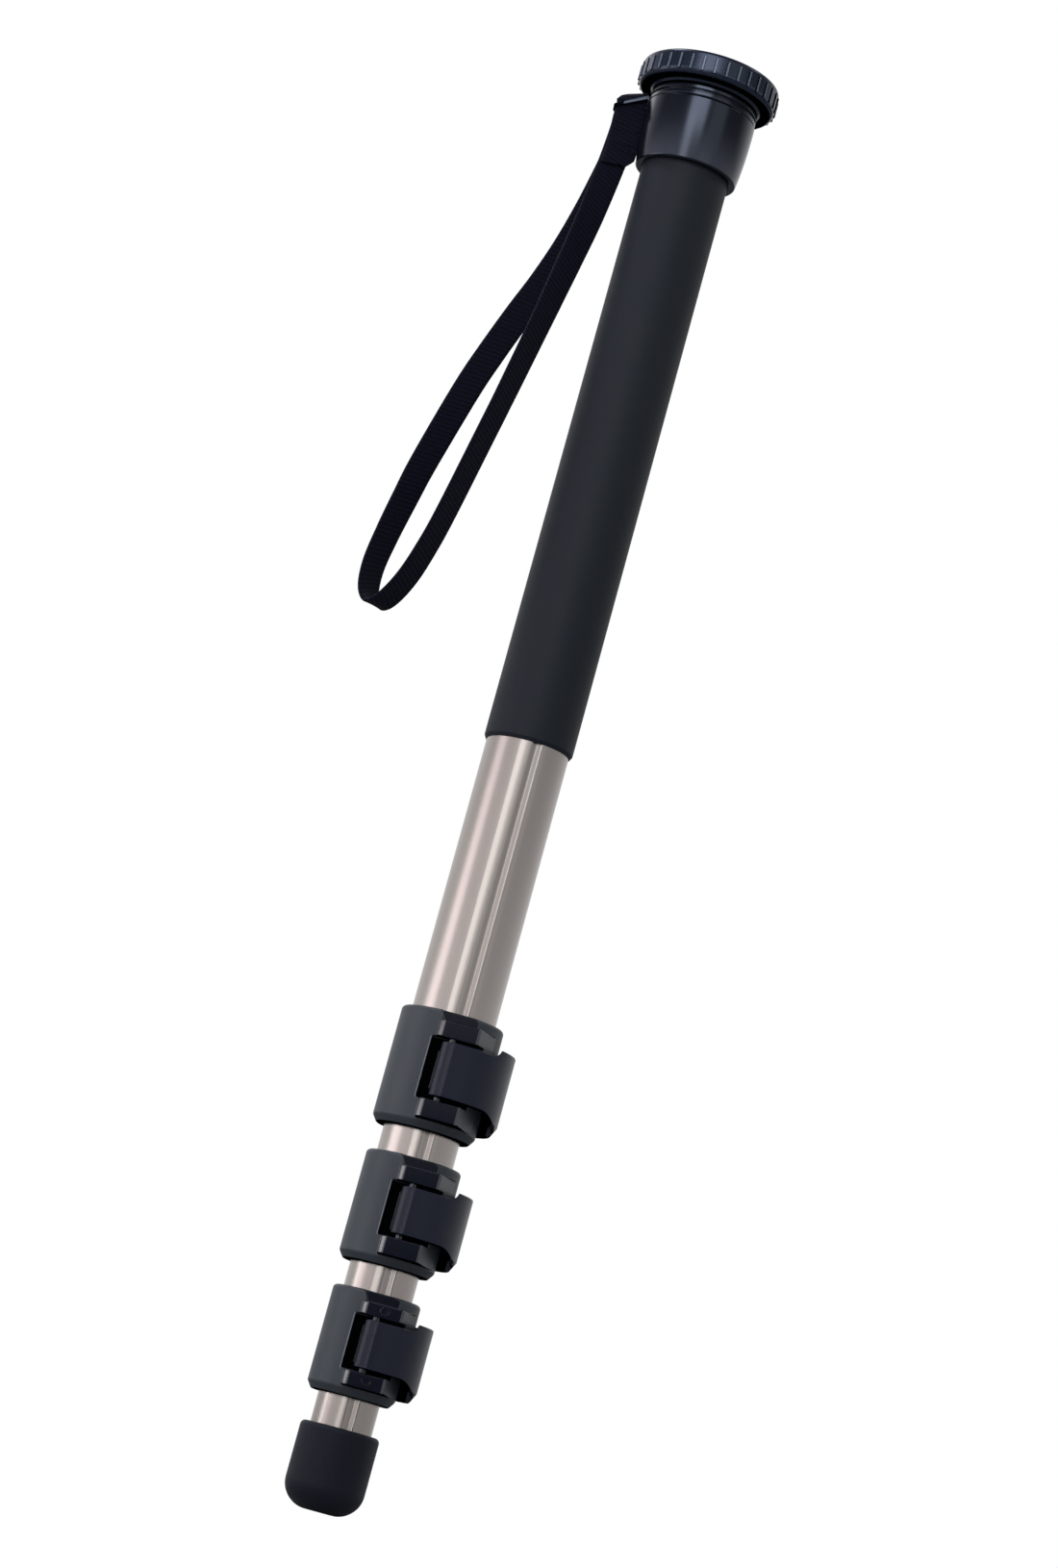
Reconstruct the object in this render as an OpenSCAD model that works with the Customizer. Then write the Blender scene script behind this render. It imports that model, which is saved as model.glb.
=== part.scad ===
// Four-section camera monopod with flip locks, shown folded.
// The shaft stands on the Z axis with its rubber foot at Z = 0.
// The front faces -Y, the lock levers lie on the +X side and the wrist strap on the -X side.

/* [Tubes] */
// Outer diameter of the upper tube
tube_d = 28; // [26:0.5:34]
// Wall of every tube
tube_wall = 0.8; // [0.6:0.05:0.9]
// Drop in outer radius from each tube to the next one
tube_step = 1.3; // [1.2:0.05:1.6]
// Depth of the key groove pressed into every tube
groove_depth = 1.15; // [0.8:0.05:1.3]
// Slope of the groove's sides to the tube's skin, in degrees
groove_slope = 30; // [24:1:34]
// Turn of the groove from the front towards the levers, in degrees
groove_turn = 11; // [0:1:20]
// Length of the guide sleeve at the top of each sliding tube
guide_len = 40; // [20:1:80]

/* [Shaft] */
// Height of the rubber foot
foot_h = 27; // [22:0.5:40]
// Bare tube between the foot and the lower lock
foot_gap = 10; // [6:0.5:30]
// Bare tube between the lower and the middle lock
lower_gap = 8.5; // [6:0.5:30]
// Bare tube between the middle and the upper lock
middle_gap = 9; // [6:0.5:30]
// Bare length of the upper tube between its lock and the grip
bare_len = 93; // [40:1:160]
// Length of the grip that shows below the collar
grip_len = 206.5; // [120:0.5:300]
// Wall of the rubber grip
grip_t = 1.08; // [0.8:0.02:3]
// Height of the tapered lower edge of the grip
grip_taper = 2.4; // [1:0.1:5]

/* [Locks] */
// Height of the upper lock
upper_lock_h = 39; // [36:0.5:50]
// Height of the middle lock
middle_lock_h = 36; // [33:0.5:50]
// Height of the lower lock
lower_lock_h = 34; // [32:0.5:50]
// Height of the lever window in the upper lock
upper_window_h = 20.5; // [17:0.5:22]
// Height of the lever window in the middle lock
middle_window_h = 18; // [16:0.5:20]
// Height of the lever window in the lower lock
lower_window_h = 18; // [16:0.5:19]
// Wall of the lock body around its tube
lock_wall = 3.1; // [2.6:0.1:4]
// Depth to which a tube's end stays above the lock's lower edge
tube_seat = 7; // [5:0.5:9]
// Height of the lip under the guide liner
lip_h = 1.5; // [1:0.1:2.5]
// Width of the slanted lower edge
lower_bevel = 1.7; // [1:0.1:2.4]
// Height of the slanted lower edge
lower_bevel_h = 2.4; // [1:0.1:3]
// Radius of the rounded upper edge
top_round = 1.3; // [0.5:0.1:2]
// Rise of the lever window's middle above the middle of the lock
window_rise = 0.25; // [-1:0.05:1]
// Drop from the lock's top to the top of the hinge boss
boss_drop = 3.6; // [2.6:0.1:5]
// Rise from the lock's lower edge to the hinge boss
boss_rise = 3.3; // [1.5:0.1:4]
// Left edge of the boss's front face, from the axis
boss_left = 2.3; // [1:0.1:4]
// Right edge of the boss's front face, from the axis
boss_right = 9.8; // [8:0.1:10]
// Width of the slanted facets beside the boss's front face
boss_facet = 1.4; // [0.4:0.1:1.8]
// Left edge of the lever window, from the axis
window_left = 5.2; // [4:0.1:7]

/* [Levers] */
// Side shift of the hinge pin from the axis
pin_x = 1.7; // [1:0.1:3]
// Diameter of the hinge pin
pin_d = 2.5; // [2:0.1:3]
// Radius of the lever's cam barrel
cam_r = 3.4; // [3:0.1:3.8]
// Offset of the cam from the pin
cam_offset = 0.5; // [0.3:0.05:0.7]
// Lag of the cam's high side behind the shoe, in degrees
cam_lag = 30; // [20:1:40]
// Space between the lock body and the lever's inner face
lever_space = 2.5; // [2:0.1:4]
// Thickness of the lever plate
lever_t = 3.5; // [2:0.1:4]
// Space above and below the lever in its window
lever_play = 1.2; // [0.4:0.1:1.6]
// Angle past the side at which the lever's tab ends, in degrees
tab_end = 34; // [10:1:40]
// Spread of the finger tab below the lever's neck
tab_drop = 6.2; // [4:0.1:7]
// Spread of the finger tab above the lever's neck
tab_rise = 2.6; // [1:0.1:4]
// Width of the slanted corner under the tab
tab_corner = 1.8; // [0.5:0.1:2]
// Opening angle of the lever, in degrees
lever_swing = 110; // [80:1:120]

/* [Brake shoes] */
// Width of the brake shoe
shoe_w = 7.2; // [5:0.1:8]
// Height of the brake shoe
shoe_h = 12; // [8:0.5:14]
// Thickness of the shoe outside the upper tube's skin
shoe_back = 0.9; // [0.5:0.1:1.5]

/* [Head] */
// Height of the head collar
collar_h = 22.6; // [18:0.2:30]
// Diameter of the collar at its top
collar_d = 37.6; // [36:0.2:42]
// Diameter of the collar at its lower edge
collar_low_d = 35; // [33:0.2:35.6]
// Depth to which the upper tube reaches into the collar
collar_socket = 15; // [12:0.5:17]
// Depth to which the grip reaches under the collar
grip_tuck = 2; // [1:0.1:4]
// Thickness of the strap ring
ring_t = 1.8; // [1.2:0.1:2.5]
// Diameter of the strap ring
ring_d = 37.2; // [35.6:0.2:41]
// Width of the strap ring's band around the collar's spigot
ring_w = 2.4; // [1.6:0.1:4]
// Height of the neck cap
cap_h = 2; // [1.6:0.1:4]
// Diameter of the neck cap
cap_d = 37.2; // [35:0.2:41]
// Depth of the groove under the neck cap's edge
cap_groove = 0.9; // [0.4:0.1:1.5]
// Number of screws in the neck cap
cap_screws = 3; // [2:1:6]
// Thickness of the thrust washer
washer_t = 0.8; // [0.5:0.1:1.5]
// Diameter of the thrust washer
washer_d = 30; // [24:0.5:32]

/* [Platform] */
// Diameter of the platform over its plain rim
disc_d = 48; // [44:0.5:60]
// Height of the platform's rim
rim_h = 8.6; // [7.5:0.1:12]
// Height of the hub below the rim
hub_h = 0.8; // [0.5:0.1:3]
// Diameter of the hub
hub_d = 37; // [32:0.5:40]
// Rounding of the rim's upper edge
rim_round = 1.8; // [0.5:0.1:2.2]
// Rounding of the rim's lower edge
rim_low_round = 1.6; // [0.5:0.1:2]
// Number of grip ribs round the rim
rib_count = 36; // [18:1:48]
// Width of a grip rib
rib_w = 1.2; // [0.6:0.1:2]
// Height to which a rib stands out of the rim
rib_out = 0.5; // [0.2:0.05:0.8]
// Plain band above the ribs
rib_band = 2; // [1.6:0.1:3]
// Plain edge below the ribs
rib_foot = 1.2; // [0.8:0.1:2]
// Diameter of the rubber pad
pad_d = 41; // [32:0.5:43]
// Diameter of the hole in the pad
pad_hole_d = 13; // [11:0.5:20]
// Thickness of the pad
pad_t = 1.5; // [1:0.1:3]
// Height of the pad above the platform
pad_proud = 0.5; // [0.2:0.1:0.9]

/* [Camera screw] */
// Diameter of the camera screw
screw_d = 6.35; // [6.35:0.01:6.35]
// Height of the camera screw above the pad
screw_h = 5.6; // [4.5:0.1:7]
// Depth of the screw's thread in the spindle
screw_depth = 12; // [8:0.5:14]
// Diameter of the spindle
spindle_d = 10; // [9:0.1:10.6]
// Length of the spindle below the collar's web
spindle_tail = 3.4; // [3:0.1:6]

/* [Foot] */
// Diameter of the rubber foot
foot_d = 26; // [24.5:0.5:34]
// Thickness of rubber under the tube
foot_sole = 6; // [4:0.5:10]
// Rounding of the foot's lower edge
foot_round = 8.5; // [4:0.5:9]
// Rounding of the foot's upper rim
foot_rim_round = 1.6; // [0.5:0.1:2]
// Length of the plug in the tube's lower end
plug_len = 16; // [8:0.5:30]

/* [Strap] */
// Width of the webbing
strap_w = 9.6; // [8:0.1:10]
// Thickness of the webbing
strap_t = 1.4; // [1:0.1:1.6]
// Width of the slot in the ring's ear
slot_w = 3; // [2.6:0.1:3.4]
// Width of the bar behind the slot, which the webbing wraps
bar_w = 2.4; // [2:0.1:2.4]
// Width of the bar in front of the slot
front_w = 1.3; // [1:0.1:2]
// Width of the bar at the ear's outer end
tip_w = 1; // [0.8:0.1:2]
// Thickness of the sloping ear
ear_t = 1; // [0.8:0.1:1.2]
// Shift of the slot from the axis towards the back
slot_y = 1.6; // [1.5:0.1:1.7]
// Length of the ear that stays level past the collar
ear_lap = 0.4; // [0.4:0.1:1]
// Slope of the ear below the ring, in degrees
ear_slope = 28; // [10:1:30]

/* [Hidden] */
$fn = 96;
// Clearances: bonded or pressed pieces, running fits, sliding guides, loose seats
bond = 0.02;
run = 0.05;
guide_gap = 0.1;
seat_gap = 0.3;
lip_gap = 0.4;
shoe_gap = 0.15;
// Small edge break on turned pieces
edge = 0.5;
far = 60;

function tube_r(i) = tube_d / 2 - i * tube_step;
groove_widen = 1 / tan(groove_slope);
groove_skew = 1 / cos(groove_slope);

// Levels of the stack, from the foot upwards; locks are counted from the top
lock_h = [upper_lock_h, middle_lock_h, lower_lock_h];
window_h = [upper_window_h, middle_window_h, lower_window_h];
lower_lock_z = foot_h + foot_gap;
middle_lock_z = lower_lock_z + lower_lock_h + lower_gap;
upper_lock_z = middle_lock_z + middle_lock_h + middle_gap;
lock_z = [upper_lock_z, middle_lock_z, lower_lock_z];
grip_z = upper_lock_z + upper_lock_h + bare_len;
collar_z = grip_z + grip_len;
web_z = collar_z + collar_socket;
ring_z = collar_z + collar_h;
cap_z = ring_z + ring_t;
washer_z = cap_z + cap_h;
hub_z = washer_z + washer_t + run;
rim_z = hub_z + hub_h;
disc_top = rim_z + rim_h;
pad_top = disc_top + pad_proud;
// The sliding tubes end just under the collar's web, which stops them when folded
nest_top = web_z - edge;

grip_r = tube_d / 2 + grip_t;
rim_r = disc_d / 2;
spigot_r = ring_d / 2 - ring_w;
// Overlap of the ear's sloping plate with the ring
bend_in = 0.05;
// The ear bends down just outside the collar and the ring
ear_x = max(ring_d, collar_d) / 2 + seat_gap + ear_lap;
screw_r = screw_d / 2;
// The screw's shank below the pad is relieved to the root of its thread
shank_r = screw_r - 0.3;
spindle_r = spindle_d / 2;

// Lock geometry: the shoe's flat back, the cam and the pin line up behind each other
shoe_low = (shoe_h + 2 * shoe_gap) / 2;
pin_r = pin_d / 2;
cam_reach = cam_r + cam_offset * cos(cam_lag);
pin_back = shoe_back + run + cam_reach;
boss_front = pin_back + pin_r + 0.7;
function body_r(i) = tube_r(i) + lock_wall;
function lever_in(i) = body_r(i) + lever_space;
function lever_out(i) = lever_in(i) + lever_t;
function pin_y(i) = -(tube_r(i) + pin_back);
function window_z(i) = lock_z[i] + lock_h[i] / 2 + window_rise;
function boss_h(i) = lock_h[i] - boss_rise - boss_drop;
function lever_h(i) = window_h[i] - 2 * lever_play;
boss_side_turn = 20;
scoop_rim = [2, 4.6];
scoop_wall = 1;

// Fasteners
lock_screw_r = 1.25;
lock_screw_head_r = 2.3;
lock_screw_head_h = 1.2;
lock_screw_drop = 6;
function lock_screw_z(i) = lock_z[i] + lock_h[i] - lock_screw_drop;
cap_screw_r = 1.25;
cap_screw_head_r = 2.4;
cap_screw_head_h = 1.2;
cap_screw_len = 8;
cap_screw_ring = washer_d / 2 - cap_screw_head_r - edge;

// Spring washer and circlip that hold the spindle under the web
clip_t = 0.8;
clip_r = spindle_r + 2;
clip_groove = 0.6;
clip_mouth = 3;
clip_z = web_z - clip_t - run - clip_t;

// Route of the strap's middle line, with the turn of its width from +X about Z and, on the ear,
// its slope: over the front bar, down the front strand, round the bottom, up the rear strand and the slot
strap_route = [
    [-24.3, 4.6, 485.85, 0, 28], [-24.3, 3.3, 485.85, 0, 28], [-24.3, 2.4, 485.5, 0, 28],
    [-24.3, 2.1, 484.7, 0, 28], [-24.3, 2.1, 481.5, 0, 22], [-24.3, 1.8, 477, 2, 8],
    [-24.5, 1.2, 471, 4, 0], [-25.1, 0.2, 462, 9, 0], [-26, -1.7, 452, 16, 0], [-27.5, -4.2, 438, 26, 0],
    [-29.5, -6.2, 424, 34, 0], [-31.8, -7.8, 409, 41, 0], [-34, -9, 395, 46, 0],
    [-38.8, -10.5, 367, 50, 0], [-41.4, -10.5, 353, 50, 0], [-46.6, -9, 326, 50, 0],
    [-49.6, -7.6, 313, 49, 0], [-53.4, -5.6, 301, 47, 0], [-58, -3.4, 292.5, 46, 0], [-62, -1.3, 290, 45, 0],
    [-65, 0.4, 294, 44, 0], [-65.8, 1.4, 303, 41, 0], [-64.3, 2, 315, 36, 0],
    [-61.8, 2.6, 329, 28, 0], [-59, 3.1, 343, 20, 0], [-52, 4, 371, 8, 0],
    [-47.3, 4, 386, 5, 0], [-42, 3.6, 401, 3, 0],
    [-37, 3, 414, 2, 0], [-32.5, 2.8, 428, 2, 0], [-29, 2.7, 442, 1, 0],
    [-26.6, 2.8, 454, 0, 0], [-25.1, 3.2, 463, 0, 0], [-24.5, 3.9, 471, 0, 0],
    [-24.3, 5.2, 477, 0, 8], [-24.3, 6.5, 481.5, 0, 22], [-24.3, 6.5, 484.7, 0, 28],
    [-24.3, 6.2, 485.5, 0, 28], [-24.3, 5.3, 485.85, 0, 28]
];

// Round outline with the V-shaped key groove; apex is the groove bottom's distance from the axis
module grooved_round(r, apex) {
    difference() {
        circle(r);
        rotate(groove_turn)
            polygon([[0, -apex], [far * groove_widen, -apex - far], [-far * groove_widen, -apex - far]]);
    }
}

// Ring of a turned piece between two radii
module ring(r_in, r_out, h) {
    linear_extrude(h) difference() {
        circle(r_out);
        circle(r_in);
    }
}

// Tube i, counted from the top, between two levels
module shaft_tube(i, z_low, z_high) {
    r = tube_r(i);
    apex = r - groove_depth;
    translate([0, 0, z_low]) linear_extrude(z_high - z_low) difference() {
        grooved_round(r, apex);
        grooved_round(r - tube_wall, apex - tube_wall * groove_skew);
    }
}

// Tube i held in its lock, with the opening for the brake shoe and the fixing screw's hole
module locked_tube(i, z_high) {
    color("#b3aba3") difference() {
        shaft_tube(i, lock_z[i] + tube_seat, z_high);
        shoe_opening(i);
        lock_screw_hole(i);
    }
}

// Thin plastic sleeve on the top of sliding tube i, running in the tube above it
module tube_guide(i) {
    r = tube_r(i);
    apex_out = tube_r(i - 1) - groove_depth - (tube_wall + guide_gap) * groove_skew;
    color("#2b2b2e") translate([0, 0, nest_top - guide_len]) linear_extrude(guide_len) difference() {
        grooved_round(tube_r(i - 1) - tube_wall - guide_gap, apex_out);
        grooved_round(r + bond, r - groove_depth + bond * groove_skew);
    }
}

// Opening through wall and tube in which the brake shoe slides
module shoe_opening(i) {
    translate([pin_x - shoe_w / 2 - shoe_gap, -far, window_z(i) - shoe_low])
        cube([shoe_w + 2 * shoe_gap, far, 2 * shoe_low]);
}

// Hole of the fixing screw at the back of a lock
module lock_screw_hole(i) {
    translate([0, 0, lock_screw_z(i)]) rotate([-90, 0, 0]) cylinder(r = lock_screw_r + bond, h = far);
}

// Plan of the hinge boss: a flat front between two slanted facets
module boss_plan(i) {
    front = tube_r(i) + boss_front;
    left = -boss_left - boss_facet;
    side = [body_r(i) * cos(boss_side_turn), -body_r(i) * sin(boss_side_turn)];
    polygon([[0, 0], [left, -body_r(i) / 2], [left, boss_facet - front], [-boss_left, -front],
        [boss_right - boss_facet / 2, -front], [boss_right, boss_facet / 2 - front], side]);
}

// Outline of the turned lock body
module lock_profile(i) {
    r = body_r(i);
    h = lock_h[i];
    r_in = tube_r(i + 1) + lip_gap;
    polygon([[r_in, 0], [r - lower_bevel, 0], [r, lower_bevel_h], [r, h - top_round],
        [r - top_round, h], [r_in, h]]);
    translate([r - top_round, h - top_round]) circle(top_round);
}

// Scoop that frees the front of the lock above the boss
module front_scoop(depth) {
    rotate([90, 0, 0]) linear_extrude(far) polygon([[-boss_left, -depth], [boss_right, -depth],
        [boss_right + scoop_rim[1], edge], [-boss_left - scoop_rim[0], edge]]);
}

module lock_body(i) {
    z = lock_z[i];
    h = lock_h[i];
    color("#2f3336") difference() {
        union() {
            difference() {
                translate([0, 0, z]) rotate_extrude() lock_profile(i);
                translate([0, -tube_r(i) - scoop_wall, z + h]) front_scoop(boss_drop);
            }
            translate([0, 0, z + boss_rise]) linear_extrude(boss_h(i)) boss_plan(i);
        }
        translate([0, 0, z - edge]) cylinder(r = tube_r(i + 1) + lip_gap, h = h + 2 * edge);
        translate([0, 0, z + lip_h]) cylinder(r = tube_r(i) + bond, h = h);
        translate([-window_left, -far - tube_r(i) - shoe_back, window_z(i) - window_h[i] / 2])
            cube([far, far, window_h[i]]);
        shoe_opening(i);
        lock_screw_hole(i);
        translate([0, body_r(i) - lock_screw_head_h, lock_screw_z(i)]) rotate([-90, 0, 0])
            cylinder(r = lock_screw_head_r + bond, h = far);
        translate([pin_x, pin_y(i), z + boss_rise + edge]) cylinder(r = pin_r + bond, h = h);
    }
}

// Steel hinge pin pressed into both knuckles
module lock_pin(i) {
    color("#9a9ca0") translate([pin_x, pin_y(i), lock_z[i] + boss_rise + edge])
        cylinder(r = pin_r, h = boss_h(i) - 2 * edge);
}

// Plan of the lever: the cam barrel, the plate that wraps the side and its round end
module lever_plan(i) {
    r_in = lever_in(i);
    r_out = lever_out(i);
    start = atan2(pin_y(i), pin_x);
    middle = (start + tab_end) / 2;
    translate([pin_x + cam_offset * sin(cam_lag), pin_y(i) + cam_offset * cos(cam_lag)]) circle(cam_r);
    intersection() {
        difference() {
            circle(r_out);
            circle(r_in);
        }
        polygon([[0, 0], far * [cos(start), sin(start)], 2 * far * [cos(middle), sin(middle)],
            far * [cos(tab_end), sin(tab_end)]]);
    }
    rotate(tab_end) translate([(r_in + r_out) / 2, 0]) circle(lever_t / 2);
}

// Front view of what is cut away below and above the lever's neck, up to the finger tab
module lever_cut(i, spread, reach) {
    low = lever_h(i) / 2;
    start = reach - spread;
    translate([start, -low - spread]) circle(spread);
    translate([-far, -low - far]) square([far + start, far]);
}

module lock_lever(i) {
    low = lever_h(i) / 2;
    bottom = -low - tab_drop;
    r_cut = lever_out(i) - tab_corner;
    r_past = lever_out(i) + edge;
    color("#2a2d31") translate([0, 0, window_z(i)]) difference() {
        translate([0, 0, bottom]) linear_extrude(low + tab_rise - bottom) lever_plan(i);
        rotate([90, 0, 0]) linear_extrude(far) lever_cut(i, tab_drop, lever_out(i) - 0.3 * lever_t);
        rotate([90, 0, 0]) linear_extrude(far) mirror([0, 1])
            lever_cut(i, tab_rise, lever_in(i) - tab_corner);
        rotate_extrude() polygon([[r_cut - edge, bottom - 2 * edge], [r_past, bottom - 2 * edge],
            [r_past, bottom + 2 * (tab_corner + edge)]]);
        translate([pin_x, pin_y(i), -far / 2]) cylinder(r = pin_r + run, h = far);
    }
}

// Brake shoe between the cam and the sliding tube
module lock_shoe(i) {
    back = tube_r(i) + shoe_back;
    color("#4a4a4c") translate([0, 0, window_z(i) - shoe_h / 2]) linear_extrude(shoe_h) difference() {
        translate([pin_x - shoe_w / 2, -back]) square([shoe_w, back - tube_r(i + 1) / 2]);
        circle(tube_r(i + 1) + run);
    }
}

// Guide liner trapped between the lock's lip and the end of its tube
module lock_liner(i) {
    color("#c9c6bd") translate([0, 0, lock_z[i] + lip_h])
        ring(tube_r(i + 1) + guide_gap, tube_r(i), tube_seat - lip_h);
}

// Countersunk screw that holds the lock to its tube, flush with the back
module lock_screw(i) {
    tip = tube_r(i) - tube_wall + guide_gap;
    head = body_r(i) - lock_screw_head_h;
    color("#77797c") translate([0, 0, lock_screw_z(i)]) rotate([-90, 0, 0]) {
        translate([0, 0, tip]) cylinder(r = lock_screw_r, h = head - tip);
        translate([0, 0, head]) cylinder(r = lock_screw_head_r, h = lock_screw_head_h - guide_gap);
    }
}

module platform_disc() {
    color("#232629") difference() {
        union() {
            translate([0, 0, rim_z]) rotate_extrude() {
                square([rim_r - max(rim_round, rim_low_round), rim_h]);
                translate([0, rim_low_round]) square([rim_r, rim_h - rim_low_round - rim_round]);
                translate([rim_r - rim_low_round, rim_low_round]) circle(rim_low_round);
                translate([rim_r - rim_round, rim_h - rim_round]) circle(rim_round);
            }
            translate([0, 0, hub_z]) cylinder(d = hub_d, h = hub_h + edge);
            for (i = [0 : rib_count - 1]) rotate(i * 360 / rib_count)
                translate([rim_r / 2, -rib_w / 2, rim_z + rib_foot])
                    cube([rim_r / 2 + rib_out, rib_w, rim_h - rib_band - rib_foot]);
        }
        translate([0, 0, pad_top - pad_t]) cylinder(r = pad_d / 2 + bond, h = far);
        translate([0, 0, hub_z - edge]) cylinder(r = spindle_r + bond, h = far);
    }
}

module platform_pad() {
    color("#1b1b1d") translate([0, 0, pad_top - pad_t]) ring(pad_hole_d / 2, pad_d / 2, pad_t);
}

module camera_screw() {
    low = pad_top - pad_t - screw_depth;
    color("#a9abad") {
        translate([0, 0, low]) cylinder(r = shank_r, h = pad_top - low);
        translate([0, 0, pad_top]) cylinder(r = screw_r, h = screw_h - edge);
        translate([0, 0, pad_top + screw_h - edge]) cylinder(r1 = screw_r, r2 = screw_r - edge, h = edge);
    }
}

module spindle() {
    low = web_z - spindle_tail;
    top = pad_top - pad_t;
    color("#8f9194") difference() {
        translate([0, 0, low]) cylinder(r = spindle_r, h = top - low);
        translate([0, 0, top - screw_depth]) cylinder(r = shank_r + bond, h = far);
        translate([0, 0, clip_z - bond]) ring(spindle_r - clip_groove, far, clip_t + 2 * bond);
    }
}

module circlip() {
    color("#6f7275") translate([0, 0, clip_z]) difference() {
        ring(spindle_r - clip_groove + bond, clip_r, clip_t);
        translate([0, -clip_mouth / 2, -edge]) cube([far, clip_mouth, clip_t + 2 * edge]);
    }
}

module spring_washer() {
    color("#8a8c8f") translate([0, 0, web_z - clip_t]) ring(spindle_r + seat_gap, clip_r, clip_t);
}

module thrust_washer() {
    color("#d8d6ce") translate([0, 0, washer_z]) ring(spindle_r + seat_gap, washer_d / 2, washer_t);
}

module cap_screw_places() {
    for (i = [0 : cap_screws - 1]) rotate(i * 360 / cap_screws) translate([cap_screw_ring, 0, 0]) children();
}

module cap_screw_shape(gap) {
    translate([0, 0, washer_z - cap_screw_len]) cylinder(r = cap_screw_r + gap, h = cap_screw_len);
    translate([0, 0, washer_z - cap_screw_head_h]) cylinder(r = cap_screw_head_r + gap, h = cap_screw_head_h);
}

module neck_cap_screws() {
    color("#77797c") cap_screw_places() cap_screw_shape(0);
}

module neck_cap() {
    color("#202326") difference() {
        union() {
            translate([0, 0, cap_z]) cylinder(r = cap_d / 2 - cap_groove, h = cap_h);
            translate([0, 0, cap_z + cap_groove * 0.7]) cylinder(d = cap_d, h = cap_h - cap_groove * 0.7);
        }
        translate([0, 0, cap_z - edge]) cylinder(r = spindle_r + seat_gap, h = far);
        cap_screw_places() cap_screw_shape(bond);
    }
}

// Plate ring clamped under the cap, with an ear that slopes down and a slot for the strap
module strap_ring() {
    // The webbing hangs straight through the sloping plate, so the slot is longer by the plate's lean
    slot_len = strap_w + lip_gap + ear_t * tan(ear_slope);
    ear_len = slot_len + tip_w + edge;
    front = slot_y - slot_w / 2 - front_w;
    back = slot_y + slot_w / 2 + bar_w;
    color("#26292c") {
        translate([0, 0, ring_z]) linear_extrude(ring_t) difference() {
            union() {
                circle(ring_d / 2);
                translate([-ear_x, front]) square([ear_x, back - front]);
            }
            circle(spigot_r + bond);
        }
        translate([bend_in - ear_x, 0, cap_z - 2 * bend_in]) rotate([0, -ear_slope, 0])
            translate([0, 0, -ear_t]) linear_extrude(ear_t) difference() {
                union() {
                    translate([tip_w - ear_len, front]) square([ear_len - tip_w, back - front]);
                    translate([-ear_len, front + tip_w]) square([ear_len, back - front - 2 * tip_w]);
                    for (y = [front + tip_w, back - tip_w]) translate([tip_w - ear_len, y]) circle(tip_w);
                }
                translate([-slot_len - edge, slot_y - slot_w / 2]) square([slot_len, slot_w]);
            }
    }
}

module head_collar() {
    r_top = collar_d / 2;
    r_low = collar_low_d / 2;
    steps = 14;
    skin = [for (k = [0 : steps]) let (u = k / steps)
        [r_low + (r_top - r_low) * (1 - pow(1 - u, 2.4)), u * (collar_h - edge)]];
    color("#2c3034") difference() {
        translate([0, 0, collar_z]) rotate_extrude()
            polygon(concat([[0, 0]], skin, [[r_top - edge, collar_h], [spigot_r, collar_h],
                [spigot_r, collar_h + ring_t], [0, collar_h + ring_t]]));
        translate([0, 0, collar_z - edge]) cylinder(r = tube_r(0) + bond, h = collar_socket + edge);
        translate([0, 0, collar_z - edge]) cylinder(r = grip_r + guide_gap, h = grip_tuck + edge);
        translate([0, 0, collar_z]) cylinder(r = spindle_r + run, h = far);
        cap_screw_places() cap_screw_shape(bond);
    }
}

module grip_sleeve() {
    r_in = tube_r(0) + bond;
    top = grip_len + grip_tuck - edge;
    lip = grip_t * 0.3;
    color("#2a2d33") translate([0, 0, grip_z]) rotate_extrude()
        polygon([[r_in, 0], [r_in + lip, 0], [grip_r - lip / 2, grip_taper * 0.7], [grip_r, grip_taper],
            [grip_r, top], [r_in, top]]);
}

module foot_plug() {
    r = tube_r(3) - tube_wall - run;
    apex = tube_r(3) - groove_depth - (tube_wall + run) * groove_skew;
    color("#3a3a3c") translate([0, 0, foot_sole]) linear_extrude(plug_len) grooved_round(r, apex);
}

module rubber_foot() {
    r = foot_d / 2;
    color("#1e1f21") difference() {
        union() {
            translate([0, 0, foot_round]) cylinder(r = r, h = foot_h - foot_round - foot_rim_round);
            cylinder(r = r - foot_round, h = foot_h);
            translate([0, 0, foot_round]) rotate_extrude()
                intersection() {
                    translate([r - foot_round, 0]) circle(foot_round);
                    translate([0, -foot_round]) square([r, foot_round]);
                }
            translate([0, 0, foot_h - foot_rim_round]) cylinder(r = r - foot_rim_round, h = foot_rim_round);
            translate([0, 0, foot_h - foot_rim_round]) rotate_extrude()
                translate([r - foot_rim_round, 0]) circle(foot_rim_round);
        }
        translate([0, 0, foot_sole]) cylinder(r = tube_r(3) + bond, h = far);
    }
}

// Section of the webbing with broken corners, as width and thickness offsets
strap_break = 0.3;
strap_section = let (a = strap_w / 2, b = strap_t / 2, c = strap_break)
    [[-a, c - b], [c - a, -b], [a - c, -b], [a, c - b], [a, b - c], [a - c, b], [c - a, b], [-a, b - c]];

function unit(v) = v / norm(v);
function strap_point(k) = let (p = strap_route[k]) [p[0], p[1], p[2]];
function strap_along(k) = let (last = len(strap_route) - 1)
    unit(strap_point(min(k + 1, last)) - strap_point(max(k - 1, 0)));
function strap_across(k) = let (turn = strap_route[k][3], slope = strap_route[k][4],
    along = strap_along(k), w = [cos(turn) * cos(slope), sin(turn) * cos(slope), sin(slope)])
    slope > 0 ? w : unit(w - (w * along) * along);
function strap_ring_points(k) = let (across = strap_across(k), out = unit(cross(strap_along(k), across)))
    [for (s = strap_section) strap_point(k) + s[0] * across + s[1] * out];

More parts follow.
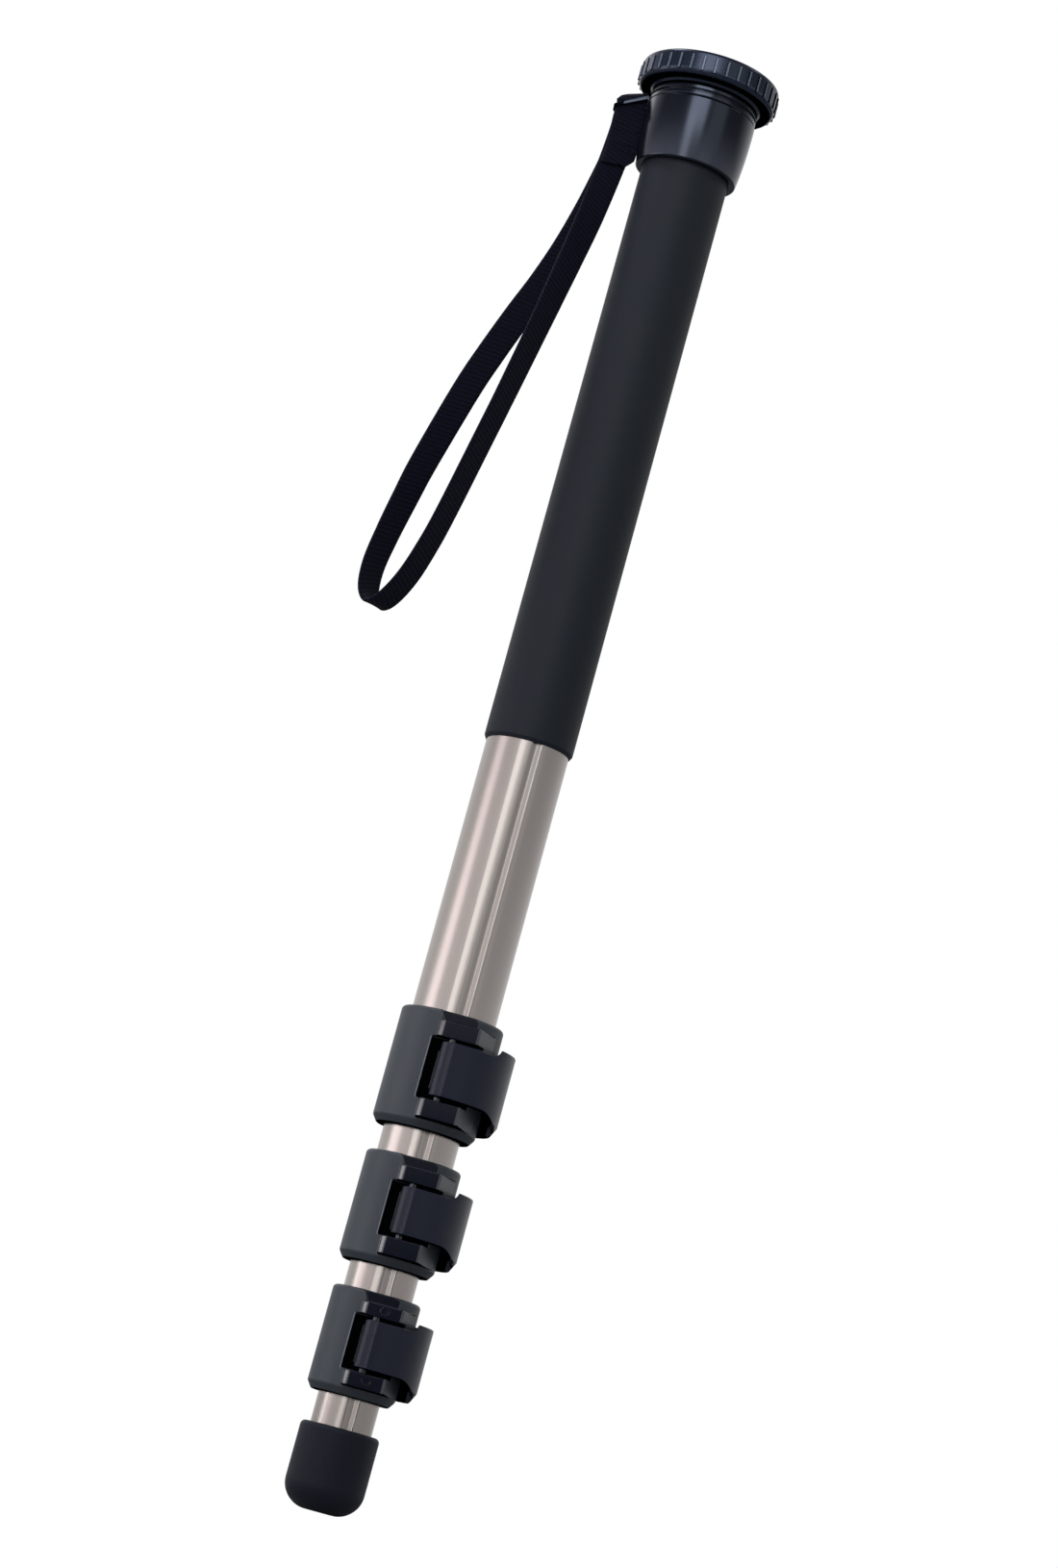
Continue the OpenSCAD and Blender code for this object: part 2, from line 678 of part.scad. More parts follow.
module wrist_strap() {
    rings = len(strap_route);
    n = len(strap_section);
    points = [for (k = [0 : rings - 1]) each strap_ring_points(k)];
    sides = [for (k = [0 : rings - 2], j = [0 : n - 1]) let (a = k * n + j, b = k * n + (j + 1) % n)
        each [[a, a + n, b], [b, a + n, b + n]]];
    first = [for (j = [1 : n - 2]) [0, j, j + 1]];
    last = let (base = (rings - 1) * n) [for (j = [1 : n - 2]) [base, base + j + 1, base + j]];
    color("#17181a") polyhedron(points = points, faces = concat(sides, first, last));
}

platform_disc();
platform_pad();
camera_screw();
spindle();
circlip();
spring_washer();
thrust_washer();
neck_cap();
neck_cap_screws();
strap_ring();
wrist_strap();
head_collar();
grip_sleeve();
locked_tube(0, web_z);  // upper_tube
locked_tube(1, nest_top);  // second_tube
locked_tube(2, nest_top);  // third_tube
color("#b3aba3") shaft_tube(3, foot_sole, nest_top);  // foot_tube
tube_guide(1);  // second_tube_guide
tube_guide(2);  // third_tube_guide
tube_guide(3);  // foot_tube_guide
lock_body(0);  // upper_lock_body
lock_lever(0);  // upper_lock_lever
lock_pin(0);  // upper_lock_pin
lock_shoe(0);  // upper_lock_shoe
lock_liner(0);  // upper_lock_liner
lock_screw(0);  // upper_lock_screw
lock_body(1);  // middle_lock_body
lock_lever(1);  // middle_lock_lever
lock_pin(1);  // middle_lock_pin
lock_shoe(1);  // middle_lock_shoe
lock_liner(1);  // middle_lock_liner
lock_screw(1);  // middle_lock_screw
lock_body(2);  // lower_lock_body
lock_lever(2);  // lower_lock_lever
lock_pin(2);  // lower_lock_pin
lock_shoe(2);  // lower_lock_shoe
lock_liner(2);  // lower_lock_liner
lock_screw(2);  // lower_lock_screw
foot_plug();
rubber_foot();
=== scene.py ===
"""Folding camera monopod: the visual model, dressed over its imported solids."""
import logging
import math
from contextlib import contextmanager
from dataclasses import dataclass
from enum import Enum
from typing import Callable, Iterator, Optional, Sequence, Union

import bmesh
import bpy
from mathutils import Matrix, Quaternion, Vector


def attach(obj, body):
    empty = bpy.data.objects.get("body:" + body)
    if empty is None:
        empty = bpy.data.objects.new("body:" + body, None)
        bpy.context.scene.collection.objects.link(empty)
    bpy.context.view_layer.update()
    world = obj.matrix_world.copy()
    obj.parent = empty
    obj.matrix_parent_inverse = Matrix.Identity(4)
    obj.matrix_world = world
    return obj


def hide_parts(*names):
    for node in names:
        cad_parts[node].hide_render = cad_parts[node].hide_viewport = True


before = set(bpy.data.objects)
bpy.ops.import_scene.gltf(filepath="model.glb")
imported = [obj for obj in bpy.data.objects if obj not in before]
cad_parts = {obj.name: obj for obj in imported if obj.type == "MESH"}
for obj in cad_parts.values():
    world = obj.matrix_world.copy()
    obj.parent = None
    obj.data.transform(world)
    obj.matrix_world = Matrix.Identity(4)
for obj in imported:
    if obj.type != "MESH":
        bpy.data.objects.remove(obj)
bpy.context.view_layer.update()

LOG = logging.getLogger("monopod")
MM = 0.001

Piece = bpy.types.Object
Tree = bpy.types.NodeTree
Node = bpy.types.Node
Socket = bpy.types.NodeSocket
Inputs = dict[Union[int, str], Union[float, tuple, Socket]]
Profile = list[tuple[float, float]]
Triple = tuple[float, float, float]
Route = tuple[tuple[float, float, float, float, float], ...]


class Slot(Enum):
    """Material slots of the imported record."""

    TUBE = "tube_metal"
    HEAD = "head_metal"
    PLATFORM = "platform_plastic"
    PAD = "pad_rubber"
    LOCK = "lock_plastic"
    LEVER = "lever_plastic"
    SLIP = "slip_plastic"
    STEEL = "steel"
    GRIP = "grip_rubber"
    FOOT = "foot_rubber"
    WEBBING = "webbing"


class Mark(Enum):
    """Face attributes that a finish reads."""

    # Three of these marks carry painted light: the first adds polish and a painted tone (painted
    # shade on the lock's boss and scoop, painted highlight on the platform's ribs), the third
    # near-black painted shade, the fourth a pale painted highlight; facet only raises reflection.
    POLISH_AND_PAINTED_LIGHT = "polish_and_painted_light"
    FACET = "facet"
    PAINTED_SHADE = "painted_shade"
    PAINTED_HIGHLIGHT = "painted_highlight"


class LockName(Enum):
    """The three leg locks and the section that carries each."""

    UPPER = "upper_section"
    MIDDLE = "second_section"
    LOWER = "third_section"


# Shader helpers


def linear(code: str) -> tuple[float, float, float, float]:
    """Turns an sRGB hex colour into linear light.

    Args:
        code: colour as #RRGGBB.

    Returns:
        Linear red, green, blue and an alpha of one.
    """
    values = [int(code[k:k + 2], 16) / 255 for k in (1, 3, 5)]
    light = [v / 12.92 if v <= 0.04045 else ((v + 0.055) / 1.055) ** 2.4 for v in values]
    return (*light, 1.0)


def feed(tree: Tree, node: Node, inputs: Inputs) -> None:
    """Sets inputs of a node, or links them.

    Args:
        tree: node tree that holds the node.
        node: the node.
        inputs: values, or sockets to link from, by input name or number.
    """
    for name, value in inputs.items():
        if isinstance(value, Socket):
            tree.links.new(value, node.inputs[name])
        else:
            node.inputs[name].default_value = value


def add_node(tree: Tree, kind: str, inputs: Optional[Inputs] = None, **settings: object) -> Node:
    """Adds one shader node with its settings, values and links.

    Args:
        tree: node tree that gets the node.
        kind: Blender's type name of the node, after ShaderNode.
        inputs: values, or sockets to link from, by input name or number.
        settings: attributes of the node itself.

    Returns:
        The new node.
    """
    node = tree.nodes.new(f"ShaderNode{kind}")
    for name, value in settings.items():
        setattr(node, name, value)
    feed(tree, node, inputs or {})
    return node


def per_mm(size: float) -> float:
    """Gives the texture scale at which one feature is so many millimetres wide."""
    return 1.0 / (size * MM)


# Finishes


@dataclass(frozen=True)
class Finish:
    """A surface finish: two tones and a roughness that vary, and what its making adds."""

    name: str
    colour: str
    second: str
    roughness: float
    grain_mm: float
    swing: float = 0.05

    def material(self) -> bpy.types.Material:
        """Makes the material once and returns it.

        Returns:
            The material of this finish.
        """
        known = bpy.data.materials.get(self.name)
        if known:
            return known
        made = bpy.data.materials.new(self.name)
        made.use_nodes = True
        tree = made.node_tree
        self.lay(tree, tree.nodes["Principled BSDF"], add_node(tree, "TexCoord"))
        return made

    def lay(self, tree: Tree, shader: Node, place: Node) -> None:
        """Lays the finish's own nodes; each kind of finish has its own.

        Args:
            tree: node tree of the material.
            shader: its main shader.
            place: its texture coordinates.
        """
        raise NotImplementedError

    def mottle(self, tree: Tree, shader: Node, noise: Socket) -> tuple[Socket, Socket]:
        """Varies colour and roughness by one noise.

        Args:
            tree: node tree of the material.
            shader: its main shader.
            noise: grey value from 0 to 1.

        Returns:
            The colour and the roughness that the shader now reads.
        """
        tone = add_node(tree, "Mix", {
            0: noise, 6: linear(self.colour), 7: linear(self.second)}, data_type="RGBA")
        rough = add_node(tree, "MapRange", {
            "Value": noise, "To Min": self.roughness - self.swing,
            "To Max": self.roughness + self.swing})
        feed(tree, shader, {"Base Color": tone.outputs[2], "Roughness": rough.outputs[0]})
        return tone.outputs[2], rough.outputs[0]


@dataclass(frozen=True)
class AnodisedAluminium(Finish):
    """Drawn and anodised aluminium tube."""

    line_mm: float = 90.0
    cloud_mm: float = 38.0
    cloud_share: float = 0.35

    def lay(self, tree: Tree, shader: Node, place: Node) -> None:
        """Lays long, fine drawing lines along the tube and a satin sheen.

        Args:
            tree: node tree of the material.
            shader: its main shader.
            place: its texture coordinates.
        """
        # Drawing leaves faint lines along the tube; the anodic layer blurs what it mirrors into
        # soft bands
        across = per_mm(self.grain_mm)
        stretch = add_node(tree, "Mapping", {
            "Vector": place.outputs["Object"], "Scale": (across, across, per_mm(self.line_mm))})
        lines = add_node(tree, "TexNoise", {
            "Vector": stretch.outputs[0], "Scale": 1.0, "Detail": 3.0, "Roughness": 0.55})
        clouds = add_node(tree, "TexNoise", {
            "Vector": place.outputs["Object"], "Scale": per_mm(self.cloud_mm), "Detail": 2.0})
        both = add_node(tree, "Mix", {
            0: self.cloud_share, 2: lines.outputs[0], 3: clouds.outputs[0]})
        self.mottle(tree, shader, both.outputs[0])
        bump = add_node(tree, "Bump", {
            "Height": lines.outputs[0], "Strength": 0.06, "Distance": 0.03 * MM})
        feed(tree, shader, {"Metallic": 1.0, "Normal": bump.outputs[0]})


@dataclass(frozen=True)
class CoatedMetal(Finish):
    """Turned aluminium with a satin black coat."""

    level: float = 0.85
    tint: str = "#C2CDE6"
    ring_mm: float = 14.0
    speck_share: float = 1.4

    def lay(self, tree: Tree, shader: Node, place: Node) -> None:
        """Lays faint turning rings under a smooth satin coat.

        Args:
            tree: node tree of the material.
            shader: its main shader.
            place: its texture coordinates.
        """
        # A thin blue-black coat over turned metal: dark, with one soft streak of light and very
        # fine rings; the ear's tip beside the webbing has its reflection taken away, as painted
        # shade
        around = per_mm(self.ring_mm)
        squeeze = add_node(tree, "Mapping", {
            "Vector": place.outputs["Object"], "Scale": (around, around, per_mm(self.grain_mm))})
        rings = add_node(tree, "TexNoise", {
            "Vector": squeeze.outputs[0], "Scale": 1.0, "Detail": 2.0})
        grain = add_node(tree, "TexNoise", {
            "Vector": place.outputs["Object"], "Scale": per_mm(self.grain_mm * self.speck_share),
            "Detail": 3.0})
        both = add_node(tree, "Mix", {0: 0.5, 2: rings.outputs[0], 3: grain.outputs[0]})
        self.mottle(tree, shader, both.outputs[0])
        bump = add_node(tree, "Bump", {
            "Height": both.outputs[0], "Strength": 0.12, "Distance": 0.03 * MM})
        # Painted shade: marked faces lose their reflection and render dark.
        rubbed = add_node(tree, "Attribute", attribute_name=Mark.PAINTED_SHADE.value)
        glint = add_node(tree, "Mix", {0: rubbed.outputs["Fac"], 2: self.level, 3: 0.0})
        feed(tree, shader, {
            "Specular IOR Level": glint.outputs[0], "Specular Tint": linear(self.tint),
            "Normal": bump.outputs[0]})


@dataclass(frozen=True)
class MouldedPlastic(Finish):
    """Glass-filled nylon from a spark-eroded mould."""

    swing: float = 0.06
    level: float = 0.35
    bump: float = 0.2
    tint: str = "#FFFFFF"
    # Painted tone of the faces of smoother polish: painted shade and reflection on the lock's boss
    # and its scoop.
    smooth: str = "#0E1324"
    smooth_roughness: float = 0.24
    smooth_share: float = 0.45
    # Pale painted highlight on the lip of the lever's window.
    painted_highlight: str = "#8A919C"
    # Near-black painted shade on faces that look down or lie inside recesses.
    raw: str = "#050608"
    flow_mm: float = 11.0
    fine_share: float = 0.6

    def lay(self, tree: Tree, shader: Node, place: Node) -> None:
        """Lays the mould's eroded grain, faces of smoother polish with a painted tone, and painted
        shade and a painted highlight on marked faces.

        Args:
            tree: node tree of the material.
            shader: its main shader.
            place: its texture coordinates.
        """
        # The eroded mould prints a fine even grain that turns highlights into a broad satin glow.
        # Faces the toolmaker gave a smoother polish mirror softly and take a painted tone; painted
        # shade makes faces near black with no reflection, and a painted highlight makes the
        # window's lip pale
        spot = place.outputs["Object"]
        grain = add_node(tree, "TexVoronoi", {
            "Vector": spot, "Scale": per_mm(self.grain_mm)}, feature="SMOOTH_F1")
        fine = add_node(tree, "TexNoise", {
            "Vector": spot, "Scale": per_mm(self.grain_mm * self.fine_share), "Detail": 2.0})
        relief = add_node(tree, "Math", {
            0: grain.outputs[0], 1: fine.outputs[0]}, operation="MULTIPLY")
        bump = add_node(tree, "Bump", {
            "Height": relief.outputs[0], "Strength": self.bump, "Distance": 0.08 * MM})
        flow = add_node(tree, "TexNoise", {
            "Vector": spot, "Scale": per_mm(self.flow_mm), "Detail": 3.0})
        tone, rough = self.mottle(tree, shader, flow.outputs[0])
        on = {kind: add_node(tree, "Attribute", attribute_name=kind.value).outputs["Fac"]
              for kind in Mark}
        # Painted light: the smoother faces' tone, a pale painted highlight and near-black painted
        # shade.
        for kind, colour in (
                (Mark.POLISH_AND_PAINTED_LIGHT, self.smooth), (Mark.PAINTED_HIGHLIGHT, self.painted_highlight), (Mark.PAINTED_SHADE, self.raw)):
            tone = add_node(tree, "Mix", {
                0: on[kind], 6: tone, 7: linear(colour)}, data_type="RGBA").outputs[2]
        shine = add_node(tree, "Mix", {
            0: on[Mark.POLISH_AND_PAINTED_LIGHT], 2: rough, 3: self.smooth_roughness})
        glint: Union[float, Socket] = self.level
        for kind, level in (
                (Mark.POLISH_AND_PAINTED_LIGHT, self.level * self.smooth_share), (Mark.FACET, 1.0),
                (Mark.PAINTED_SHADE, 0.0)):
            glint = add_node(tree, "Mix", {0: on[kind], 2: glint, 3: level}).outputs[0]
        feed(tree, shader, {
            "Base Color": tone, "Roughness": shine.outputs[0], "Specular IOR Level": glint,
            "Specular Tint": linear(self.tint), "Normal": bump.outputs[0]})


@dataclass(frozen=True)
class RubberSkin(Finish):
    """Moulded rubber with a dull skin."""

    level: float = 0.22
    sheen: float = 0.08
    bloom_mm: float = 17.0

    def lay(self, tree: Tree, shader: Node, place: Node) -> None:
        """Lays a fine pebbled skin and the patchy bloom of rubber.

        Args:
            tree: node tree of the material.
            shader: its main shader.
            place: its texture coordinates.
        """
        # Rubber swallows light: no clear highlight, a dusty veil at grazing angles, faint cloudy
        # bloom
        spot = place.outputs["Object"]
        pebble = add_node(tree, "TexNoise", {
            "Vector": spot, "Scale": per_mm(self.grain_mm), "Detail": 4.0, "Roughness": 0.6})
        bloom = add_node(tree, "TexNoise", {
            "Vector": spot, "Scale": per_mm(self.bloom_mm), "Detail": 4.0})
        self.mottle(tree, shader, bloom.outputs[0])
        bump = add_node(tree, "Bump", {
            "Height": pebble.outputs[0], "Strength": 0.35, "Distance": 0.1 * MM})
        feed(tree, shader, {
            "Specular IOR Level": self.level, "Sheen Weight": self.sheen, "Sheen Roughness": 0.45,
            "Normal": bump.outputs[0]})


@dataclass(frozen=True)
class PlatedSteel(Finish):
    """Turned and zinc-plated steel of screws and pins."""

    swing: float = 0.07
    cloud_mm: float = 3.0

    def lay(self, tree: Tree, shader: Node, place: Node) -> None:
        """Lays tool marks and a slightly clouded plating.

        Args:
            tree: node tree of the material.
            shader: its main shader.
            place: its texture coordinates.
        """
        # Plating over tool marks: bright metal with fine streaks and a cloudy sheen
        spot = place.outputs["Object"]
        marks = add_node(tree, "TexNoise", {
            "Vector": spot, "Scale": per_mm(self.grain_mm), "Detail": 3.0})
        cloud = add_node(tree, "TexNoise", {
            "Vector": spot, "Scale": per_mm(self.cloud_mm), "Detail": 2.0})
        self.mottle(tree, shader, cloud.outputs[0])
        bump = add_node(tree, "Bump", {
            "Height": marks.outputs[0], "Strength": 0.1, "Distance": 0.03 * MM})
        feed(tree, shader, {"Metallic": 1.0, "Normal": bump.outputs[0]})


@dataclass(frozen=True)
class SlipPlastic(Finish):
    """Unpainted acetal of guides, liners, shoes and washers."""

    swing: float = 0.08
    rub_mm: float = 20.0

    def lay(self, tree: Tree, shader: Node, place: Node) -> None:
        """Lays a milky body with light let in and rubbed streaks.

        Args:
            tree: node tree of the material.
            shader: its main shader.
            place: its texture coordinates.
        """
        # Acetal is milky and waxy: light enters a little, and sliding rubs dull streaks along it
        across = per_mm(self.grain_mm)
        stretch = add_node(tree, "Mapping", {
            "Vector": place.outputs["Object"], "Scale": (across, across, per_mm(self.rub_mm))})
        rubs = add_node(tree, "TexNoise", {
            "Vector": stretch.outputs[0], "Scale": 1.0, "Detail": 3.0})
        self.mottle(tree, shader, rubs.outputs[0])
        feed(tree, shader, {
            "Subsurface Weight": 0.12, "Subsurface Radius": (0.8 * MM, 0.7 * MM, 0.6 * MM)})


@dataclass(frozen=True)
class WovenWebbing(Finish):
    """Narrow polyester webbing with crosswise ribs."""

    swing: float = 0.08
    yarn_mm: float = 0.42
    yarn_share: float = 0.32
    skew_deg: float = 16.0
    wave_mm: float = 3.1416

    def lay(self, tree: Tree, shader: Node, place: Node) -> None:
        """Lays ribs across the band and yarns along it, on the band's own UV map in centimetres.

        Args:
            tree: node tree of the material.
            shader: its main shader.
            place: its texture coordinates.
        """
        # Rounded ribs cross the band at a slight slant; the yarns on them catch a soft fibre
        # sheen. On this map a wave texture of scale one has waves of wave_mm
        turn = add_node(tree, "Mapping", {
            "Vector": place.outputs["UV"], "Rotation": (0.0, 0.0, math.radians(self.skew_deg))})
        ribs = add_node(tree, "TexWave", {
            "Vector": turn.outputs[0], "Scale": self.wave_mm / self.grain_mm},
            wave_type="BANDS", bands_direction="X", wave_profile="SIN")
        yarns = add_node(tree, "TexWave", {
            "Vector": place.outputs["UV"], "Scale": self.wave_mm / self.yarn_mm, "Distortion": 0.6,
            "Detail": 1.0}, wave_type="BANDS", bands_direction="Y", wave_profile="SIN")
        height = add_node(tree, "Mix", {
            0: self.yarn_share, 2: ribs.outputs[1], 3: yarns.outputs[1]})
        # The tone follows the relief: painted shade in the valleys and painted highlight on the
        # crests.
        self.mottle(tree, shader, height.outputs[0])
        bump = add_node(tree, "Bump", {
            "Height": height.outputs[0], "Strength": 0.7, "Distance": 0.3 * MM})
        feed(tree, shader, {
            "Specular IOR Level": 0.1, "Sheen Weight": 0.08, "Sheen Roughness": 0.4,
            "Normal": bump.outputs[0]})


FINISHES: dict[Slot, Finish] = {
    Slot.TUBE: AnodisedAluminium("anodised_drawn_aluminium", "#A09A97", "#AAA39F", 0.3, 0.35),
    Slot.HEAD: CoatedMetal("satin_black_coat", "#0B0E16", "#11151F", 0.21, 0.3),
    # The platform's smoother faces get a pale painted tone: a painted highlight on the rib fronts.
    Slot.PLATFORM: MouldedPlastic(
        "moulded_platform_nylon", "#151B2B", "#1C2335", 0.27, 0.45,
        level=0.85, bump=0.15, tint="#BBC8E6", smooth="#6E7886"),
    Slot.PAD: RubberSkin("pad_rubber_skin", "#17181A", "#1D1E20", 0.82, 0.4),
    Slot.LOCK: MouldedPlastic("moulded_lock_nylon", "#343C45", "#3C444D", 0.5, 0.4, level=0.5),
    Slot.LEVER: MouldedPlastic("moulded_lever_nylon", "#151B2F", "#1A2035", 0.38, 0.4, level=0.3),
    Slot.SLIP: SlipPlastic("slip_acetal", "#18181A", "#202022", 0.4, 0.6),
    Slot.STEEL: PlatedSteel("plated_steel", "#8E9092", "#A3A4A5", 0.3, 0.25),
    Slot.GRIP: RubberSkin(
        "grip_rubber_skin", "#121924", "#18202B", 0.62, 0.5, level=0.32, sheen=0.03),
    Slot.FOOT: RubberSkin("foot_rubber_skin", "#111522", "#171B2B", 0.62, 0.5, level=0.24),
    Slot.WEBBING: WovenWebbing("woven_webbing", "#030309", "#1A1B31", 0.75, 1.5),
}

PIN_FINISH = PlatedSteel("blackened_pin_steel", "#33353A", "#43454A", 0.22, 0.25)


# Modelling helpers


def choose_nothing() -> None:
    """Goes to object mode and deselects everything."""
    if bpy.context.mode != "OBJECT":
        bpy.ops.object.mode_set(mode="OBJECT")
    bpy.ops.object.select_all(action="DESELECT")


def take(piece: Piece) -> None:
    """Makes one piece the only selected and the active one.

    Args:
        piece: the piece.
    """
    choose_nothing()
    piece.select_set(True)
    bpy.context.view_layer.objects.active = piece


@contextmanager
def editing(piece: Piece) -> Iterator[None]:
    """Opens a piece in edit mode with all of it selected, and closes it again.

    Args:
        piece: the piece.

    Yields:
        Nothing; the operators in the block act on the piece.
    """
    take(piece)
    bpy.ops.object.mode_set(mode="EDIT")
    bpy.ops.mesh.select_all(action="SELECT")
    yield
    bpy.ops.object.mode_set(mode="OBJECT")


def pick(piece: Piece, test: Callable[[Vector], bool]) -> None:
    """Selects the vertices of a piece in edit mode by their place.

    Args:
        piece: the piece in edit mode.
        test: says of a vertex's place whether it is wanted.
    """
    net = bmesh.from_edit_mesh(piece.data)
    for vertex in net.verts:
        vertex.select_set(test(vertex.co))
    net.select_flush_mode()
    bmesh.update_edit_mesh(piece.data)


def placed(name: str, data: bpy.types.ID) -> Piece:
    """Puts a mesh, a lamp or a camera into the scene.

    Args:
        name: the new object's name.
        data: what the object holds.

    Returns:
        The new object, at the origin.
    """
    made = bpy.data.objects.new(name, data)
    bpy.context.scene.collection.objects.link(made)
    return made


def copied(piece: Piece, moves: Sequence[Matrix]) -> list[Piece]:
    """Puts copies of a model in place, each with its own mesh, and clears the model away.

    Args:
        piece: the model.
        moves: the move of each copy.

    Returns:
        The copies.
    """
    copies = [placed(f"{piece.name}_copy", piece.data.copy()) for _ in moves]
    for copy, move in zip(copies, moves):
        copy.data.transform(move)
    bpy.data.objects.remove(piece)
    return copies


def rounded(corners: Sequence[Triple], steps: int = 6) -> Profile:
    """Rounds the corners of a closed outline.

    Args:
        corners: radius, height and rounding of each corner, in millimetres.
        steps: points along each rounding.

    Returns:
        The outline's points, with the first repeated at the end.
    """
    most = 0.49
    points: Profile = []
    for k, (r, z, turn) in enumerate(corners):
        if turn <= 0:
            points.append((r, z))
            continue
        here = Vector((r, z))
        back = Vector(corners[k - 1][:2]) - here
        on = Vector(corners[(k + 1) % len(corners)][:2]) - here
        reach = min(turn / math.tan(back.angle(on) / 2), most * back.length, most * on.length)
        start = here + back.normalized() * reach
        end = here + on.normalized() * reach
        for j in range(steps + 1):
            u = j / steps
            spot = start * (1 - u) ** 2 + here * 2 * u * (1 - u) + end * u ** 2
            points.append((spot.x, spot.y))
    points.append(points[0])
    return points


def drawn(name: str, profile: Profile) -> Piece:
    """Draws a profile as a chain of edges beside the shaft's axis.

    Args:
        name: the piece's name.
        profile: radius and height of each point, in millimetres.

    Returns:
        The chain of edges.
    """
    choose_nothing()
    bpy.ops.mesh.primitive_plane_add(size=MM)
    piece = bpy.context.object
    piece.name = piece.data.name = name
    with editing(piece):
        bpy.ops.mesh.merge(type="CENTER")
        bpy.ops.transform.translate(value=(profile[0][0] * MM, 0, profile[0][1] * MM))
        for a, b in zip(profile, profile[1:]):
            bpy.ops.mesh.extrude_vertices_move(
                TRANSFORM_OT_translate={"value": ((b[0] - a[0]) * MM, 0, (b[1] - a[1]) * MM)})
    return piece


def turned(name: str, profile: Profile, steps: int = 144) -> Piece:
    """Turns a profile round the shaft's axis, as on a lathe.

    Args:
        name: the piece's name.
        profile: radius and height of each point, in millimetres.
        steps: facets round the axis.

    Returns:
        The turned piece.
    """
    piece = drawn(name, profile)
    with editing(piece):
        bpy.ops.mesh.spin(steps=steps, angle=2 * math.pi, center=(0, 0, 0), axis=(0, 0, 1))
        bpy.ops.mesh.select_all(action="SELECT")
        bpy.ops.mesh.remove_doubles(threshold=0.003 * MM)
        bpy.ops.mesh.normals_make_consistent(inside=False)
    return piece


def softened(
    name: str,
    node: str,
    width: float,
    angle: float = 34,
    segments: int = 3,
) -> Piece:
    """Copies a CAD node and rounds its edges as a mould or a file does.

    Args:
        name: the new piece's name.
        node: the CAD node.
        width: width of the rounding, in millimetres.
        angle: edges that turn more than this get it, in degrees.
        segments: facets of the rounding.

    Returns:
        The rounded copy, no larger than the node.
    """
    piece = placed(name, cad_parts[node].data.copy())
    piece.data.name = name
    piece.data.materials.clear()
    with editing(piece):
        bpy.ops.mesh.remove_doubles(threshold=0.004 * MM)
        bpy.ops.mesh.dissolve_limited(angle_limit=math.radians(0.6))
    bevel = piece.modifiers.new("edges", "BEVEL")
    bevel.width = width * MM
    bevel.segments = segments
    bevel.limit_method = "ANGLE"
    bevel.angle_limit = math.radians(angle)
    bevel.use_clamp_overlap = False
    bevel.miter_outer = "MITER_ARC"
    spots = [vertex.co.copy() for vertex in piece.data.vertices]
    bpy.ops.object.modifier_apply(modifier=bevel.name)
    for axis in range(3):
        low, high = min(spot[axis] for spot in spots), max(spot[axis] for spot in spots)
        for vertex in piece.data.vertices:
            vertex.co[axis] = min(max(vertex.co[axis], low), high)
    return piece


def joined(name: str, pieces: Sequence[Piece]) -> Piece:
    """Joins several meshes into one piece.

    Args:
        name: the joined piece's name.
        pieces: the meshes; the first one takes in the others.

    Returns:
        The joined piece.
    """
    take(pieces[0])
    for piece in pieces[1:]:
        piece.select_set(True)
    bpy.ops.object.join()
    pieces[0].name = pieces[0].data.name = name
    return pieces[0]


def dressed(
    piece: Piece,
    body: str,
    slot: Slot,
    nodes: Sequence[str] = (),
    smooth: float = 32,
) -> Piece:
    """Gives a finished piece its shading, finish, body and the nodes it stands for.

    Args:
        piece: the piece.
        body: the CAD body that it rides on.
        slot: the record's material slot.
        nodes: CAD nodes that it replaces.
        smooth: edges that turn less than this are shaded smooth, in degrees.

    Returns:
        The same piece.
    """
    take(piece)
    bpy.ops.object.shade_smooth_by_angle(angle=math.radians(smooth))
    even = piece.modifiers.new("even_faces", "WEIGHTED_NORMAL")
    even.keep_sharp = True
    bpy.ops.object.modifier_apply(modifier=even.name)
    piece.data.materials.clear()
    piece.data.materials.append(FINISHES[slot].material())
    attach(piece, body)
    if nodes:
        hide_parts(*nodes)
    LOG.info("%s rides on %s, %d faces", piece.name, body, len(piece.data.polygons))
    return piece


def mark(piece: Piece, kind: Mark, test: Callable[[Vector, Vector], bool]) -> None:
    """Marks faces of a piece for its finish.

    Args:
        piece: the piece.
        kind: the attribute to write.
        test: says of a face's middle, in millimetres, and its normal whether it is marked.
    """
    layer = piece.data.attributes.new(kind.value, "FLOAT", "FACE")
    for face in piece.data.polygons:
        layer.data[face.index].value = float(test(face.center / MM, face.normal))


def smooth_rows(route: Route, fine: int = 8) -> list[tuple[Vector, float, float]]:
    """Runs a smooth curve through the points of a route.

    Args:
        route: place, turn of the width about the axis and slope, in millimetres and degrees.
        fine: rows between two points of the route.

    Returns:
        Place, turn and slope of each row.
    """
    rows: list[tuple[Vector, float, float]] = []
    last = len(route) - 1
    for k in range(last):
        p0, p1, p2, p3 = (
            Vector(route[min(max(k + j, 0), last)][:3]) for j in (-1, 0, 1, 2))
        for j in range(fine):
            u = j / fine
            place = 0.5 * (2 * p1 + (p2 - p0) * u + (2 * p0 - 5 * p1 + 4 * p2 - p3) * u ** 2
                           + (3 * p1 - p0 - 3 * p2 + p3) * u ** 3)
            turn, slope = (route[k][i] * (1 - u) + route[k + 1][i] * u for i in (3, 4))
            rows.append((place, turn, slope))
    rows.append((Vector(route[last][:3]), route[last][3], route[last][4]))
    return rows


def band_section(width: float, thick: float, parts: int = 10) -> Profile:
    """Draws the section of a woven band, with rounded selvedges.

    Args:
        width: width of the band, in millimetres.
        thick: thickness of the band, in millimetres.
        parts: parts of each flat side.

    Returns:
        The section's points, across the band and out of it.
    """
    half, lip = width / 2, thick / 2
    flat = half - 0.8 * lip
    edge = half - 0.1 * lip
    side = [(flat * (2 * j / parts - 1), -lip) for j in range(parts + 1)]
    side += [(edge, -0.55 * lip), (half, 0.0), (edge, 0.55 * lip)]
    return side + [(-a, -b) for a, b in side]


